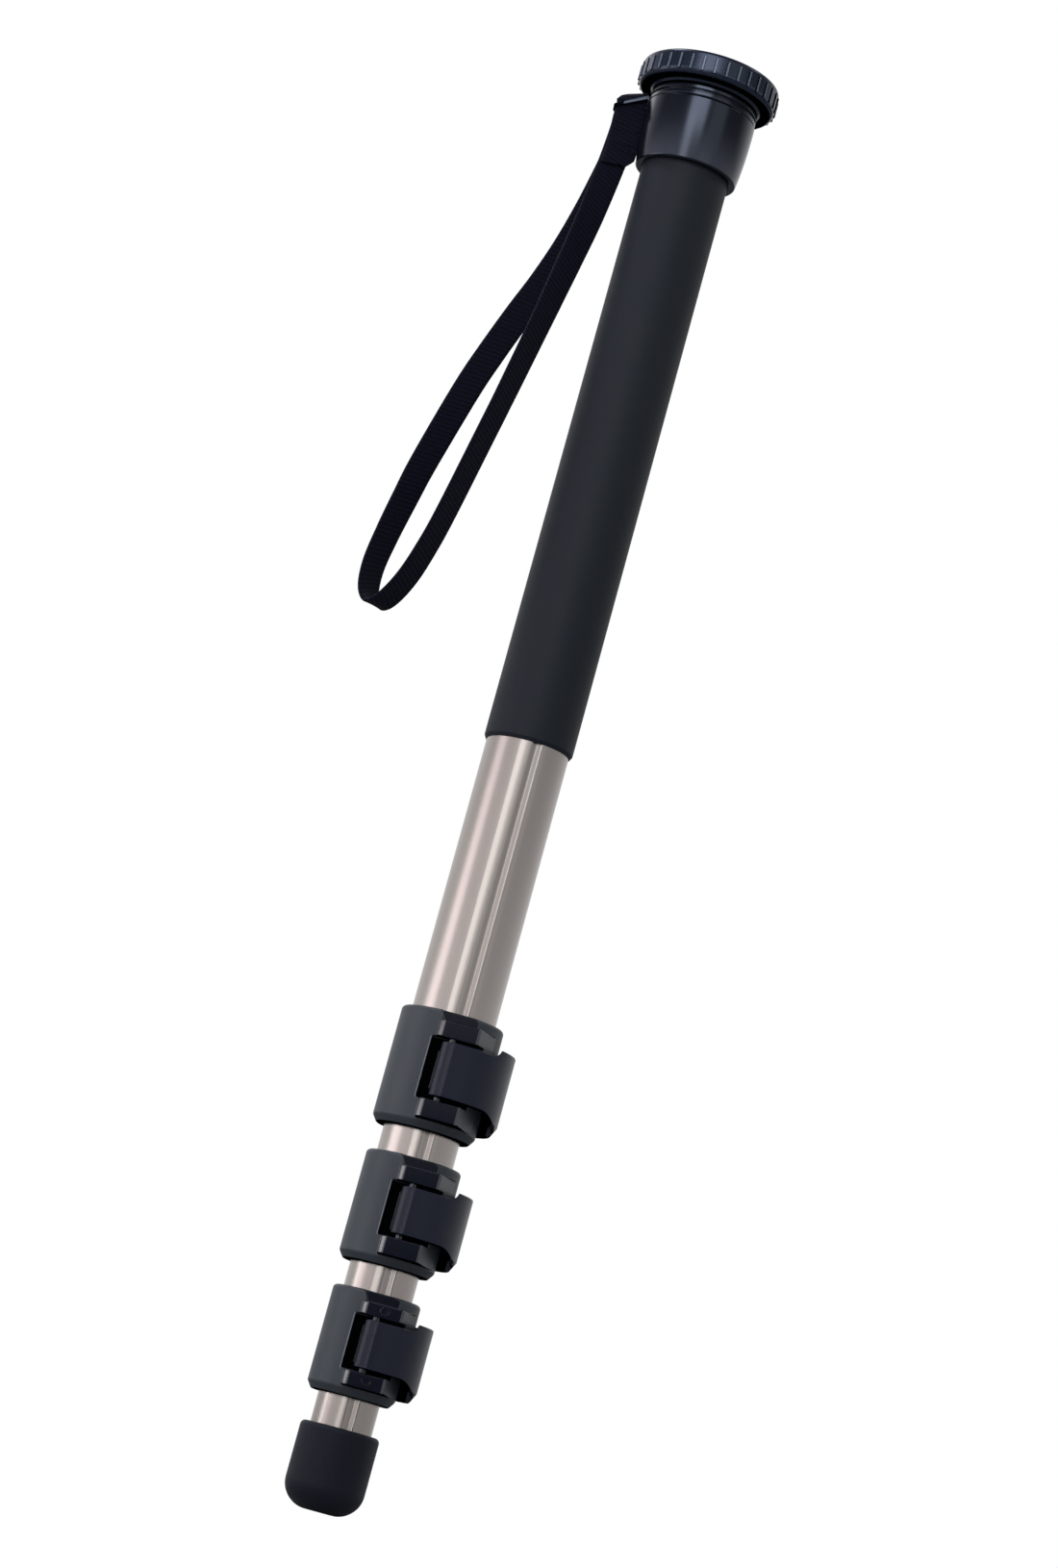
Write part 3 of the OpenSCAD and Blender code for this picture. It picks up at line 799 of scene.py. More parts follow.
def swept(name: str, route: Route, width: float, thick: float) -> Piece:
    """Sweeps a band of webbing along a route and maps it in centimetres.

    Args:
        name: the piece's name.
        route: place, turn of the width about the axis and slope, in millimetres and degrees.
        width: width of the band, in millimetres.
        thick: thickness of the band, in millimetres.

    Returns:
        The band, with both ends closed.
    """
    free_slope = 20
    rows = smooth_rows(route)
    section = band_section(width, thick)
    around, last = len(section), len(rows) - 1
    points: list[Vector] = []
    lengths = [0.0]
    for k, (place, turn, slope) in enumerate(rows):
        along = (rows[min(k + 1, last)][0] - rows[max(k - 1, 0)][0]).normalized()
        t, s = math.radians(turn), math.radians(slope)
        raw = Vector((math.cos(t) * math.cos(s), math.sin(t) * math.cos(s), math.sin(s)))
        square = (raw - along * raw.dot(along)).normalized()
        share = min(1.0, slope / free_slope)
        across = (raw * share + square * (1 - share)).normalized()
        out = along.cross(across).normalized()
        points += [(place + across * a + out * b) * MM for a, b in section]
        if k:
            lengths.append(lengths[-1] + (place - rows[k - 1][0]).length / 10)
    faces = []
    for k in range(last):
        for j in range(around):
            low, on = k * around, (j + 1) % around
            faces.append((low + j, low + on, low + around + on, low + around + j))
    faces.append(tuple(reversed(range(around))))
    faces.append(tuple(range(last * around, len(points))))
    mesh = bpy.data.meshes.new(name)
    mesh.from_pydata([tuple(p) for p in points], [], faces)
    mesh.update()
    chart = mesh.uv_layers.new(name="weave")
    for face in mesh.polygons:
        for corner in face.loop_indices:
            ring, spot = divmod(mesh.loops[corner].vertex_index, around)
            chart.data[corner].uv = (lengths[ring], section[spot][0] / 10)
    piece = placed(name, mesh)
    with editing(piece):
        bpy.ops.mesh.normals_make_consistent(inside=False)
    return piece


# Studio


def around_shaft(bearing: float, away: float, height: float) -> Vector:
    """Finds a place in the studio.

    Args:
        bearing: degrees to the right of the line from the shaft to the camera.
        away: distance from the shaft, in metres.
        height: height above the floor, in metres.

    Returns:
        The place.
    """
    turn = math.radians(bearing)
    return Vector((away * math.sin(turn), -away * math.cos(turn), height))


def bare_material(name: str) -> bpy.types.Material:
    """Makes a material with an empty node tree.

    Args:
        name: the material's name.

    Returns:
        The material.
    """
    made = bpy.data.materials.new(name)
    made.use_nodes = True
    made.node_tree.nodes.clear()
    return made


@dataclass(frozen=True)
class SoftBox:
    """A soft box that faces the shaft: bearing in degrees, sizes in metres, power in watts."""

    name: str
    bearing: float
    away: float
    wide: float
    tall: float
    height: float
    power: float
    tint: str
    highest_aim: float = 0.4

    def hang(self) -> None:
        """Hangs the box and turns it to the shaft."""
        box = bpy.data.lights.new(self.name, "AREA")
        box.shape = "RECTANGLE"
        box.size, box.size_y, box.energy = self.wide, self.tall, self.power
        box.color = linear(self.tint)[:3]
        holder = placed(self.name, box)
        holder.location = around_shaft(self.bearing, self.away, self.height)
        look = Vector((0, 0, min(self.height, self.highest_aim))) - holder.location
        holder.rotation_euler = look.to_track_quat("-Z", "Y").to_euler()


@dataclass(frozen=True)
class Card:
    """A painted card on the floor that the shaft mirrors and the camera doesn't see."""

    name: str
    bearing: float
    away: float
    wide: float
    tall: float
    paint: str

    def stand(self) -> None:
        """Stands the card up, facing the shaft."""
        choose_nothing()
        bpy.ops.mesh.primitive_plane_add(size=1)
        card = bpy.context.object
        card.name = self.name
        card.rotation_euler = (math.pi / 2, 0, math.radians(self.bearing))
        card.location = around_shaft(self.bearing, self.away, self.tall / 2)
        card.scale = (self.wide, self.tall, 1)
        bpy.ops.object.transform_apply(location=True, rotation=True, scale=True)
        made = bare_material(self.name)
        tree = made.node_tree
        matt = add_node(tree, "BsdfDiffuse", {"Color": linear(self.paint)})
        add_node(tree, "OutputMaterial", {"Surface": matt.outputs[0]})
        card.data.materials.append(made)
        card.visible_camera = False


@dataclass(frozen=True)
class Studio:
    """White sweep, soft boxes, a dark card beside the lens, and the camera."""

    lens: float = 86.9
    roll: float = 15.33
    seat: Triple = (0.0, -1.2255, 0.0049)
    aim: Triple = (0.0035, 0.0, 0.2453)
    ambient: float = 0.16
    wall_fade: tuple[float, float] = (0.17, 0.31)
    ceiling: float = 0.08
    back_wall: float = 0.9
    back_fade: tuple[float, float] = (0.0, 0.6)
    right_wall: float = 0.8
    right_fade: tuple[float, float] = (0.2, 0.9)
    floor_drop: float = 0.0006
    floor_fade: tuple[float, float] = (0.25, 0.8)
    floor_glow: float = 0.86
    floor_grey: float = 0.4
    boxes: tuple[SoftBox, ...] = (
        SoftBox("side_box", -74, 1.25, 0.52, 0.44, 0.32, 1.73, "#FFF1F5"),
        SoftBox("front_box", -17, 1.45, 0.36, 0.9, 0.45, 2.5, "#FFFDFB"),
        SoftBox("wide_box", -46, 1.6, 0.6, 0.6, 0.35, 0.6, "#FFF1F5"),
        SoftBox("high_box", -80, 1.2, 0.7, 0.5, 1.9, 10.5, "#F4F8FF"),
        SoftBox("crown_box", -9, 1.4, 0.95, 0.5, 1.1, 5.6, "#F8FAFF"),
        SoftBox("edge_box", -90, 1.25, 0.2, 0.27, 0.135, 0.7, "#FFFFFF"),
        SoftBox("fill_box", 36, 1.4, 0.8, 0.5, 1.1, 0.8, "#F5F8F4"),
        SoftBox("low_fill_box", 30, 1.5, 0.7, 0.4, 0.47, 0.38, "#F5F8F4"),
        SoftBox("rim_box", -132, 1.3, 0.4, 0.45, 0.85, 0.4, "#FFFFFF"),
        SoftBox("right_box", 82, 1.4, 0.6, 0.5, 1.9, 3.5, "#F5F8F4"))
    card: Card = Card("low_card", 7, 1.28, 0.8, 0.28, "#0C0F16")

    def build(self) -> None:
        """Builds camera, world, floor, lamps and card."""
        self.camera()
        self.world()
        self.floor()
        for box in self.boxes:
            box.hang()
        self.card.stand()
        bpy.context.scene.view_settings.view_transform = "Standard"

    def camera(self) -> None:
        """Sets the camera at the photograph's angle, with its roll."""
        lens = bpy.data.cameras.new("camera")
        lens.lens = self.lens
        lens.sensor_width = 36
        lens.clip_start = 0.01
        holder = placed("camera", lens)
        holder.location = self.seat
        look = Vector(self.aim) - Vector(self.seat)
        holder.rotation_mode = "QUATERNION"
        holder.rotation_quaternion = look.to_track_quat("-Z", "Y") @ Quaternion(
            (0, 0, 1), math.radians(self.roll))
        bpy.context.scene.camera = holder

    def world(self) -> None:
        """Makes the white that the camera sees, what the piece mirrors, and a softer light."""
        world = bpy.data.worlds.new("white_sweep")
        bpy.context.scene.world = world
        world.use_nodes = True
        tree = world.node_tree
        tree.nodes.clear()
        rays = add_node(tree, "LightPath")
        place = add_node(tree, "TexCoord")
        axes = add_node(tree, "SeparateXYZ", {0: place.outputs["Generated"]})
        wall = add_node(tree, "MapRange", {
            "Value": axes.outputs["Z"], "From Min": self.wall_fade[0],
            "From Max": self.wall_fade[1], "To Min": 1.0, "To Max": self.ceiling},
            interpolation_type="SMOOTHSTEP")
        back = add_node(tree, "MapRange", {
            "Value": axes.outputs["Y"], "From Min": self.back_fade[0],
            "From Max": self.back_fade[1], "To Min": 0.0, "To Max": self.back_wall})
        around = add_node(tree, "Math", {
            0: wall.outputs[0], 1: back.outputs[0]}, operation="MAXIMUM")
        side = add_node(tree, "MapRange", {
            "Value": axes.outputs["X"], "From Min": self.right_fade[0],
            "From Max": self.right_fade[1], "To Min": 1.0, "To Max": self.right_wall})
        sweep = add_node(tree, "Math", {
            0: around.outputs[0], 1: side.outputs[0]}, operation="MULTIPLY")
        mirrored = add_node(tree, "Math", {
            0: rays.outputs["Is Glossy Ray"], 1: rays.outputs["Is Transmission Ray"]},
            operation="MAXIMUM")
        lit = add_node(tree, "Mix", {
            0: mirrored.outputs[0], 2: self.ambient, 3: sweep.outputs[0]})
        level = add_node(tree, "Mix", {
            0: rays.outputs["Is Camera Ray"], 2: lit.outputs[0], 3: 1.0})
        sky = add_node(tree, "Background", {
            "Color": (1.0, 1.0, 1.0, 1.0), "Strength": level.outputs[0]})
        add_node(tree, "OutputWorld", {"Surface": sky.outputs[0]})

    def floor(self) -> None:
        """Lays a pale floor that keeps the foot's shadow and fades into the white sweep."""
        choose_nothing()
        bpy.ops.mesh.primitive_plane_add(size=12, location=(0, 0, -self.floor_drop))
        floor = bpy.context.object
        floor.name = "floor"
        made = bare_material("pale_floor")
        tree = made.node_tree
        place = add_node(tree, "TexCoord")
        reach = add_node(tree, "VectorMath", {
            0: place.outputs["Object"]}, operation="LENGTH")
        fade = add_node(tree, "MapRange", {
            "Value": reach.outputs["Value"], "From Min": self.floor_fade[0],
            "From Max": self.floor_fade[1]}, interpolation_type="SMOOTHSTEP")
        glow = add_node(tree, "MapRange", {
            "Value": fade.outputs[0], "To Min": self.floor_glow, "To Max": 1.0})
        rays = add_node(tree, "LightPath")
        level = add_node(tree, "Math", {
            0: glow.outputs[0], 1: rays.outputs["Is Camera Ray"]}, operation="MULTIPLY")
        grey = self.floor_grey
        paint = add_node(tree, "BsdfDiffuse", {"Color": (grey, grey, grey, 1.0)})
        light = add_node(tree, "Emission", {
            "Color": (1.0, 1.0, 1.0, 1.0), "Strength": level.outputs[0]})
        sheet = add_node(tree, "AddShader", {0: paint.outputs[0], 1: light.outputs[0]})
        add_node(tree, "OutputMaterial", {"Surface": sheet.outputs[0]})
        floor.data.materials.append(made)


# Sub-assemblies


@dataclass
class WristStrap:
    """Loop of webbing on the ear of the head, with its sewn end.

    Each point of a route gives a place, the turn of the width about the shaft's axis and its
    slope, in millimetres and degrees.
    """

    body: str = "upper_section"
    width: float = 9.6
    thick: float = 1.4
    smooth: float = 60
    route: Route = (
        (-24.3, 4.6, 485.85, 0, 28), (-24.3, 3.3, 485.85, 0, 28), (-24.3, 2.4, 485.5, 0, 28),
        (-24.3, 2.1, 484.7, 0, 28), (-24.3, 2.1, 481.5, 0, 22), (-24.3, 1.8, 477, 2, 8),
        (-24.5, 1.2, 471, 4, 0), (-25.1, 0.2, 462, 9, 0), (-26, -1.7, 452, 16, 0),
        (-27.5, -4.2, 438, 26, 0), (-29.5, -6.2, 424, 34, 0), (-31.8, -7.8, 409, 41, 0),
        (-34, -9, 395, 46, 0), (-38.8, -10.5, 367, 50, 0), (-41.4, -10.5, 353, 50, 0),
        (-46.6, -9, 326, 50, 0), (-49.6, -7.6, 313, 49, 0), (-53.4, -5.6, 301, 47, 0),
        (-58, -3.4, 292.5, 46, 0), (-62, -1.3, 290, 45, 0), (-65, 0.4, 294, 44, 0),
        (-65.8, 1.4, 303, 41, 0), (-64.3, 2, 315, 36, 0), (-61.8, 2.6, 329, 28, 0),
        (-59, 3.1, 343, 20, 0), (-52, 4, 371, 8, 0), (-47.3, 4, 386, 5, 0),
        (-42, 3.6, 401, 3, 0), (-37, 3, 414, 2, 0), (-32.5, 2.8, 428, 2, 0),
        (-29, 2.7, 442, 1, 0), (-26.6, 2.8, 454, 0, 0), (-25.1, 3.2, 463, 0, 0),
        (-24.5, 3.9, 471, 0, 0), (-24.3, 5.2, 477, 0, 8), (-24.3, 6.5, 481.5, 0, 22),
        (-24.3, 6.5, 484.7, 0, 28), (-24.3, 6.2, 485.5, 0, 28), (-24.3, 5.3, 485.85, 0, 28))
    flap_width: float = 10.8
    flap_thick: float = 1.15
    flap_route: Route = (
        (-24.5, 7.8, 483.5, 0, 28), (-24.6, 7.7, 485.6, 0, 24), (-24.6, 6.8, 487.2, 0, 20),
        (-24.6, 5.0, 487.95, 0, 18), (-24.6, 3.0, 487.6, 0, 18), (-24.5, 1.2, 486.2, 0, 21),
        (-24.15, 0.75, 484.4, 0, 24), (-23.95, 0.7, 481.5, 0, 17), (-23.8, 0.35, 477, 2, 8),
        (-23.5, -0.2, 471, 4, 0), (-23.25, -0.8, 466, 6, 0), (-23.6, -1.4, 461, 8, 0),
        (-23.6, -1.8, 458, 9, 0))
    flap_cuts: tuple[tuple[Triple, Triple], ...] = (
        ((-23, 0, 460.4), (0.1, 0, -1)), ((-19.6, 0, 461.6), (0.75, 0, -0.66)),
        ((-28.75, 0, 485.2), (-0.84, 0, 0.54)), ((-27.9, 0, 486.3), (-0.6, 0, 0.8)))
    thread_radius: float = 0.2
    stitch_length: float = 1.3
    stitch_step: tuple[float, float] = (1.75, 0.12)
    stitch_rows: tuple[Triple, ...] = (
        (-23.7, -0.3, 476.0), (-23.6, -0.58, 473.4), (-23.3, -1.12, 468.6),
        (-23.05, -1.45, 465.8))

    def length(self) -> float:
        """Gives the webbing's length along its route, in metres."""
        spots = [Vector(p[:3]) for p in self.route]
        return sum((b - a).length for a, b in zip(spots, spots[1:])) * MM

    def build(self) -> None:
        loop = dressed(swept("strap_loop", self.route, self.width, self.thick), self.body,
                       Slot.WEBBING, ["wrist_strap"], self.smooth)
        flap = self.flap()
        thread = self.stitches()

    def flap(self) -> Piece:
        """Builds the short sewn end in front of the loop, with cut corners.

        Returns:
            The sewn end.
        """
        flap = swept("strap_sewn_end", self.flap_route, self.flap_width, self.flap_thick)
        for spot, way in self.flap_cuts:
            with editing(flap):
                bpy.ops.mesh.bisect(plane_co=[c * MM for c in spot], plane_no=way, use_fill=True,
                                    clear_outer=True)
        return dressed(flap, self.body, Slot.WEBBING, (), self.smooth)

    def stitches(self) -> Piece:
        """Sews rows of thread across the end; one stitch is modelled and copied.

        Returns:
            All stitches as one piece.
        """
        choose_nothing()
        bpy.ops.mesh.primitive_cylinder_add(
            vertices=8, radius=self.thread_radius * MM, depth=self.stitch_length * MM,
            rotation=(0, math.pi / 2, 0))
        first = bpy.context.object
        bpy.ops.object.transform_apply(rotation=True)
        with editing(first):
            bpy.ops.mesh.bevel(offset=0.09 * MM, segments=2, affect="EDGES")
        step = Vector((*self.stitch_step, 0))
        moves = [Matrix.Translation((Vector(middle) + step * k) * MM)
                 for middle in self.stitch_rows for k in range(-2, 3)]
        return dressed(joined("strap_stitches", copied(first, moves)), self.body, Slot.WEBBING,
                       (), 50)


@dataclass
class Platform:
    """Turning platform: ribbed disc, rubber pad and camera screw."""

    body: str = "platform"
    rim: float = 24.0
    low: float = 491.05
    top: float = 499.65
    dish: float = 19.3
    hub_low: float = 490.25
    hub_edge: float = 18.5
    bore: float = 5.02
    recess: float = 20.52
    recess_lip: float = 20.95
    underside: float = -0.93
    ribs: int = 36
    rib_size: Triple = (1.5, 2.1, 5.5)
    rib_inset: float = 0.65
    rib_height: float = 494.95
    rib_slant: float = 0.65
    rib_front: float = -0.8
    rib_flank: float = -0.5
    pad_low: float = 498.65
    pad_top: float = 500.15
    pad_bore: float = 6.5
    pad_edge: float = 20.5
    pad_rings: int = 12
    pad_ring_step: float = 1.05
    pad_ring_depth: float = 0.28
    thread_pitch: float = 1.27
    thread_crest: float = 3.175
    thread_root: float = 2.55
    thread_low: float = 494.0
    thread_top: float = 505.75

    def build(self) -> None:
        """Builds the pad, the disc and the screw."""
        self.pad()
        self.disc()
        self.screw()

    def disc(self) -> None:
        """Builds the disc: a rounded rim with raised grip ribs over a dished hub, with painted
        shade on faces that look down.
        """
        disc = turned("platform_body", rounded([
            (self.bore, self.hub_low, 0), (self.hub_edge, self.hub_low, 0.5),
            (self.dish, self.low, 0.9), (self.rim, self.low, 2.3), (self.rim, self.top, 1.9),
            (self.recess_lip, self.top, 0.35), (self.recess, self.pad_low, 0),
            (self.bore, self.pad_low, 0)], 8))
        # Painted shade: faces that look down go near black.
        mark(disc, Mark.PAINTED_SHADE, lambda c, n: n.z < self.underside)
        moves = [Matrix.Rotation(2 * math.pi * k / self.ribs, 4, "Z") for k in range(self.ribs)]
        dressed(joined("platform_top", [disc, *copied(self.rib(), moves)]), self.body,
                Slot.PLATFORM, ["platform_disc"], 40)

    def rib(self) -> Piece:
        """Models one grip rib at the front of the rim, with a slanted left flank; its front gets a
        painted highlight and its left flank painted shadow.

        Returns:
            The rib.
        """
        choose_nothing()
        bpy.ops.mesh.primitive_cube_add(size=1)
        rib = bpy.context.object
        bpy.ops.transform.resize(value=[side * MM for side in self.rib_size])
        bpy.ops.transform.translate(
            value=(0, (self.rib_inset - self.rim) * MM, self.rib_height * MM))
        bpy.ops.object.transform_apply(location=True, rotation=True, scale=True)
        with editing(rib):
            pick(rib, lambda c: c.x < 0 and c.y < -self.rim * MM)
            bpy.ops.transform.translate(value=(self.rib_slant * MM, 0, 0))
            bpy.ops.mesh.select_all(action="SELECT")
            bpy.ops.mesh.bevel(offset=0.2 * MM, segments=3, affect="EDGES", profile=0.5)
        # Painted highlight on the rib's front and painted shadow on its left flank.
        for kind in (Mark.POLISH_AND_PAINTED_LIGHT, Mark.FACET):
            mark(rib, kind, lambda c, n: n.y < self.rib_front)
        mark(rib, Mark.PAINTED_SHADE, lambda c, n: n.x < self.rib_flank)
        return rib

    def pad(self) -> None:
        """Builds the rubber pad with concentric ridges that hold the camera."""
        low, top, bore, edge = self.pad_low, self.pad_top, self.pad_bore, self.pad_edge
        outline: Profile = [(bore, low), (edge, low), (edge, top - 0.35), (edge - 0.3, top)]
        for k in range(self.pad_rings):
            start, floor = edge - 1.3 - k * self.pad_ring_step, top - self.pad_ring_depth
            outline += [
                (start, top), (start - 0.12, floor), (start - 0.42, floor), (start - 0.54, top)]
        outline += [(bore + 0.3, top), (bore, top - 0.3), (bore, low)]
        dressed(turned("platform_rubber", outline), self.body, Slot.PAD, ["platform_pad"], 25)

    def screw(self) -> None:
        """Builds the camera screw with its rolled quarter-inch thread."""
        pitch, crest, root = self.thread_pitch, self.thread_crest, self.thread_root
        low, top = self.thread_low, self.thread_top
        tooth: Profile = [
            (root, 0), (root, 0.16), (crest, 0.56), (crest, 0.71), (root, 1.11), (root, pitch)]
        thread = drawn("camera_thread", [(r, low - pitch + z) for r, z in tooth])
        coil = thread.modifiers.new("thread", "SCREW")
        coil.angle = 2 * math.pi
        coil.screw_offset = pitch * MM
        coil.iterations = 12
        coil.steps = coil.render_steps = 48
        coil.use_merge_vertices = True
        coil.merge_threshold = 0.01 * MM
        bpy.ops.object.modifier_apply(modifier=coil.name)
        with editing(thread):
            bpy.ops.mesh.remove_doubles(threshold=0.01 * MM)
            for level, way in ((low, -1), (top, 1)):
                bpy.ops.mesh.select_all(action="SELECT")
                bpy.ops.mesh.bisect(plane_co=(0, 0, level * MM), plane_no=(0, 0, way),
                                    use_fill=True, clear_outer=True)
            for reach, share in ((0.75, 0.97), (0.4, 0.95), (0.12, 0.93)):
                pick(thread, lambda c: c.z > (top - reach) * MM)
                bpy.ops.transform.resize(value=(share, share, 1), center_override=(0, 0, top * MM))
            bpy.ops.mesh.select_all(action="SELECT")
            bpy.ops.mesh.normals_make_consistent(inside=False)
        dressed(thread, self.body, Slot.STEEL, ["camera_screw"], 38)


@dataclass
class Neck:
    """Neck cap, strap ring and collar under the platform."""

    body: str = "upper_section"
    cap_low: float = 487.4
    cap_step: float = 488.03
    cap_top: float = 489.4
    cap_bore: float = 5.3
    cap_waist: float = 17.7
    cap_rim: float = 18.6
    ear_tip: float = -26.8
    low: float = 463.0
    tall: float = 22.6
    foot: float = 17.5
    crown: float = 18.8
    swell: float = 2.4
    skin_steps: int = 30
    skin_start: int = 4
    skin_drop: float = 0.5
    shoulder_drop: float = 0.1
    bore: float = 5.05
    spigot: float = 16.2
    socket: float = 14.02
    socket_top: float = 478.0
    skirt: float = 15.2
    skirt_top: float = 465.0

    def build(self) -> None:
        """Builds the cap, the ring and the collar."""
        self.cap()
        self.ring()
        self.collar()

    def cap(self) -> None:
        """Builds the neck cap, with softly rounded edges."""
        cap = turned("neck_cap_ring", rounded([
            (self.cap_bore, self.cap_low, 0), (self.cap_waist, self.cap_low, 0.15),
            (self.cap_waist, self.cap_step, 0.2), (self.cap_rim, self.cap_step, 0.2),
            (self.cap_rim, self.cap_top, 0.3), (self.cap_bore, self.cap_top, 0)]))
        dressed(cap, self.body, Slot.HEAD, ["neck_cap"])

    def ring(self) -> None:
        """Builds the strap ring; the ear's tip beside the webbing has its reflection taken away,
        as painted shade.
        """
        ring = softened("strap_ring_plate", "strap_ring", 0.4, 40)
        with editing(ring):
            bpy.ops.mesh.bisect(plane_co=(self.ear_tip * MM, 0, 0), plane_no=(1, 0, 0))
        # Painted shade: the ear's tip loses its reflection and renders dark.
        mark(ring, Mark.PAINTED_SHADE, lambda c, n: c.x < self.ear_tip)
        dressed(ring, self.body, Slot.HEAD, ["strap_ring"])

    def collar(self) -> None:
        """Builds the collar: a cup that swells up from the grip to a rounded shoulder."""
        shoulder = self.low + self.tall - self.shoulder_drop
        rise = self.tall - self.skin_drop
        skin: list[Triple] = [(self.foot, self.low, 0.8)]
        for k in range(self.skin_start, self.skin_steps):
            u = k / self.skin_steps
            skin.append((self.foot + (self.crown - self.foot) * (1 - (1 - u) ** self.swell),
                         self.low + u * rise, 0.0))
        skin.append((self.crown, shoulder, 0.6))
        outline = rounded([
            (self.skirt, self.low, 0.2), *skin, (self.spigot, shoulder, 0.1),
            (self.spigot, self.cap_low, 0), (self.bore, self.cap_low, 0),
            (self.bore, self.socket_top, 0), (self.socket, self.socket_top, 0),
            (self.socket, self.skirt_top, 0), (self.skirt, self.skirt_top, 0)])
        dressed(turned("collar_cup", outline), self.body, Slot.HEAD, ["head_collar"], 28)


@dataclass
class Shaft:
    """Grip, telescoping tubes and foot."""

    tubes: tuple[tuple[str, str], ...] = (
        ("upper_tube", "upper_section"), ("second_tube", "second_section"),
        ("third_tube", "third_section"), ("foot_tube", "foot_section"))
    grip_low: float = 256.5
    grip_top: float = 464.5
    grip_inner: float = 14.02
    grip_outer: float = 15.08
    foot_outer: float = 13.0
    foot_inner: float = 10.12
    foot_tall: float = 27.0
    foot_seat: float = 6.0
    foot_brim: float = 1.6
    foot_dome: float = 8.5
    tread_rings: Triple = (3.9, 2.7, 1.5)
    tread_depth: float = 0.4

    def build(self) -> None:
        """Builds the tubes, the grip and the foot."""
        for node, body in self.tubes:
            dressed(softened(f"{node}_drawn", node, 0.45, 12, 4), body, Slot.TUBE, [node], 30)
        self.grip()
        self.foot()

    def grip(self) -> None:
        """Builds the rubber sleeve with a rolled lower lip."""
        low, top, inner, outer = self.grip_low, self.grip_top, self.grip_inner, self.grip_outer
        sleeve = turned("grip_rubber_sleeve", rounded([
            (inner, low, 0), (inner + 0.35, low, 0.15), (outer - 0.05, low + 1.1, 0.5),
            (outer, low + 2.4, 0.8), (outer, top, 0.2), (inner, top, 0)]))
        dressed(sleeve, "upper_section", Slot.GRIP, ["grip_sleeve"])

    def foot(self) -> None:
        """Builds the rubber foot with its domed sole and shallow tread rings."""
        outer, inner, tall = self.foot_outer, self.foot_inner, self.foot_tall
        outline: Profile = [(0.0, self.foot_seat), (inner, self.foot_seat), (inner, tall - 0.5),
                            (inner + 0.4, tall)]
        for radius, level, start, steps in (
                (self.foot_brim, tall - self.foot_brim, 90, 8),
                (self.foot_dome, self.foot_dome, 0, 14)):
            for k in range(steps + 1):
                turn = math.radians(start - 90 * k / steps)
                outline.append((outer - radius + radius * math.cos(turn),
                                level + radius * math.sin(turn)))
        for start in self.tread_rings:
            outline += [(start, 0.0), (start - 0.15, self.tread_depth),
                        (start - 0.5, self.tread_depth), (start - 0.65, 0.0)]
        outline.append((0.0, 0.0))
        dressed(turned("foot_rubber_cap", outline), "foot_section", Slot.FOOT, ["rubber_foot"],
                40)


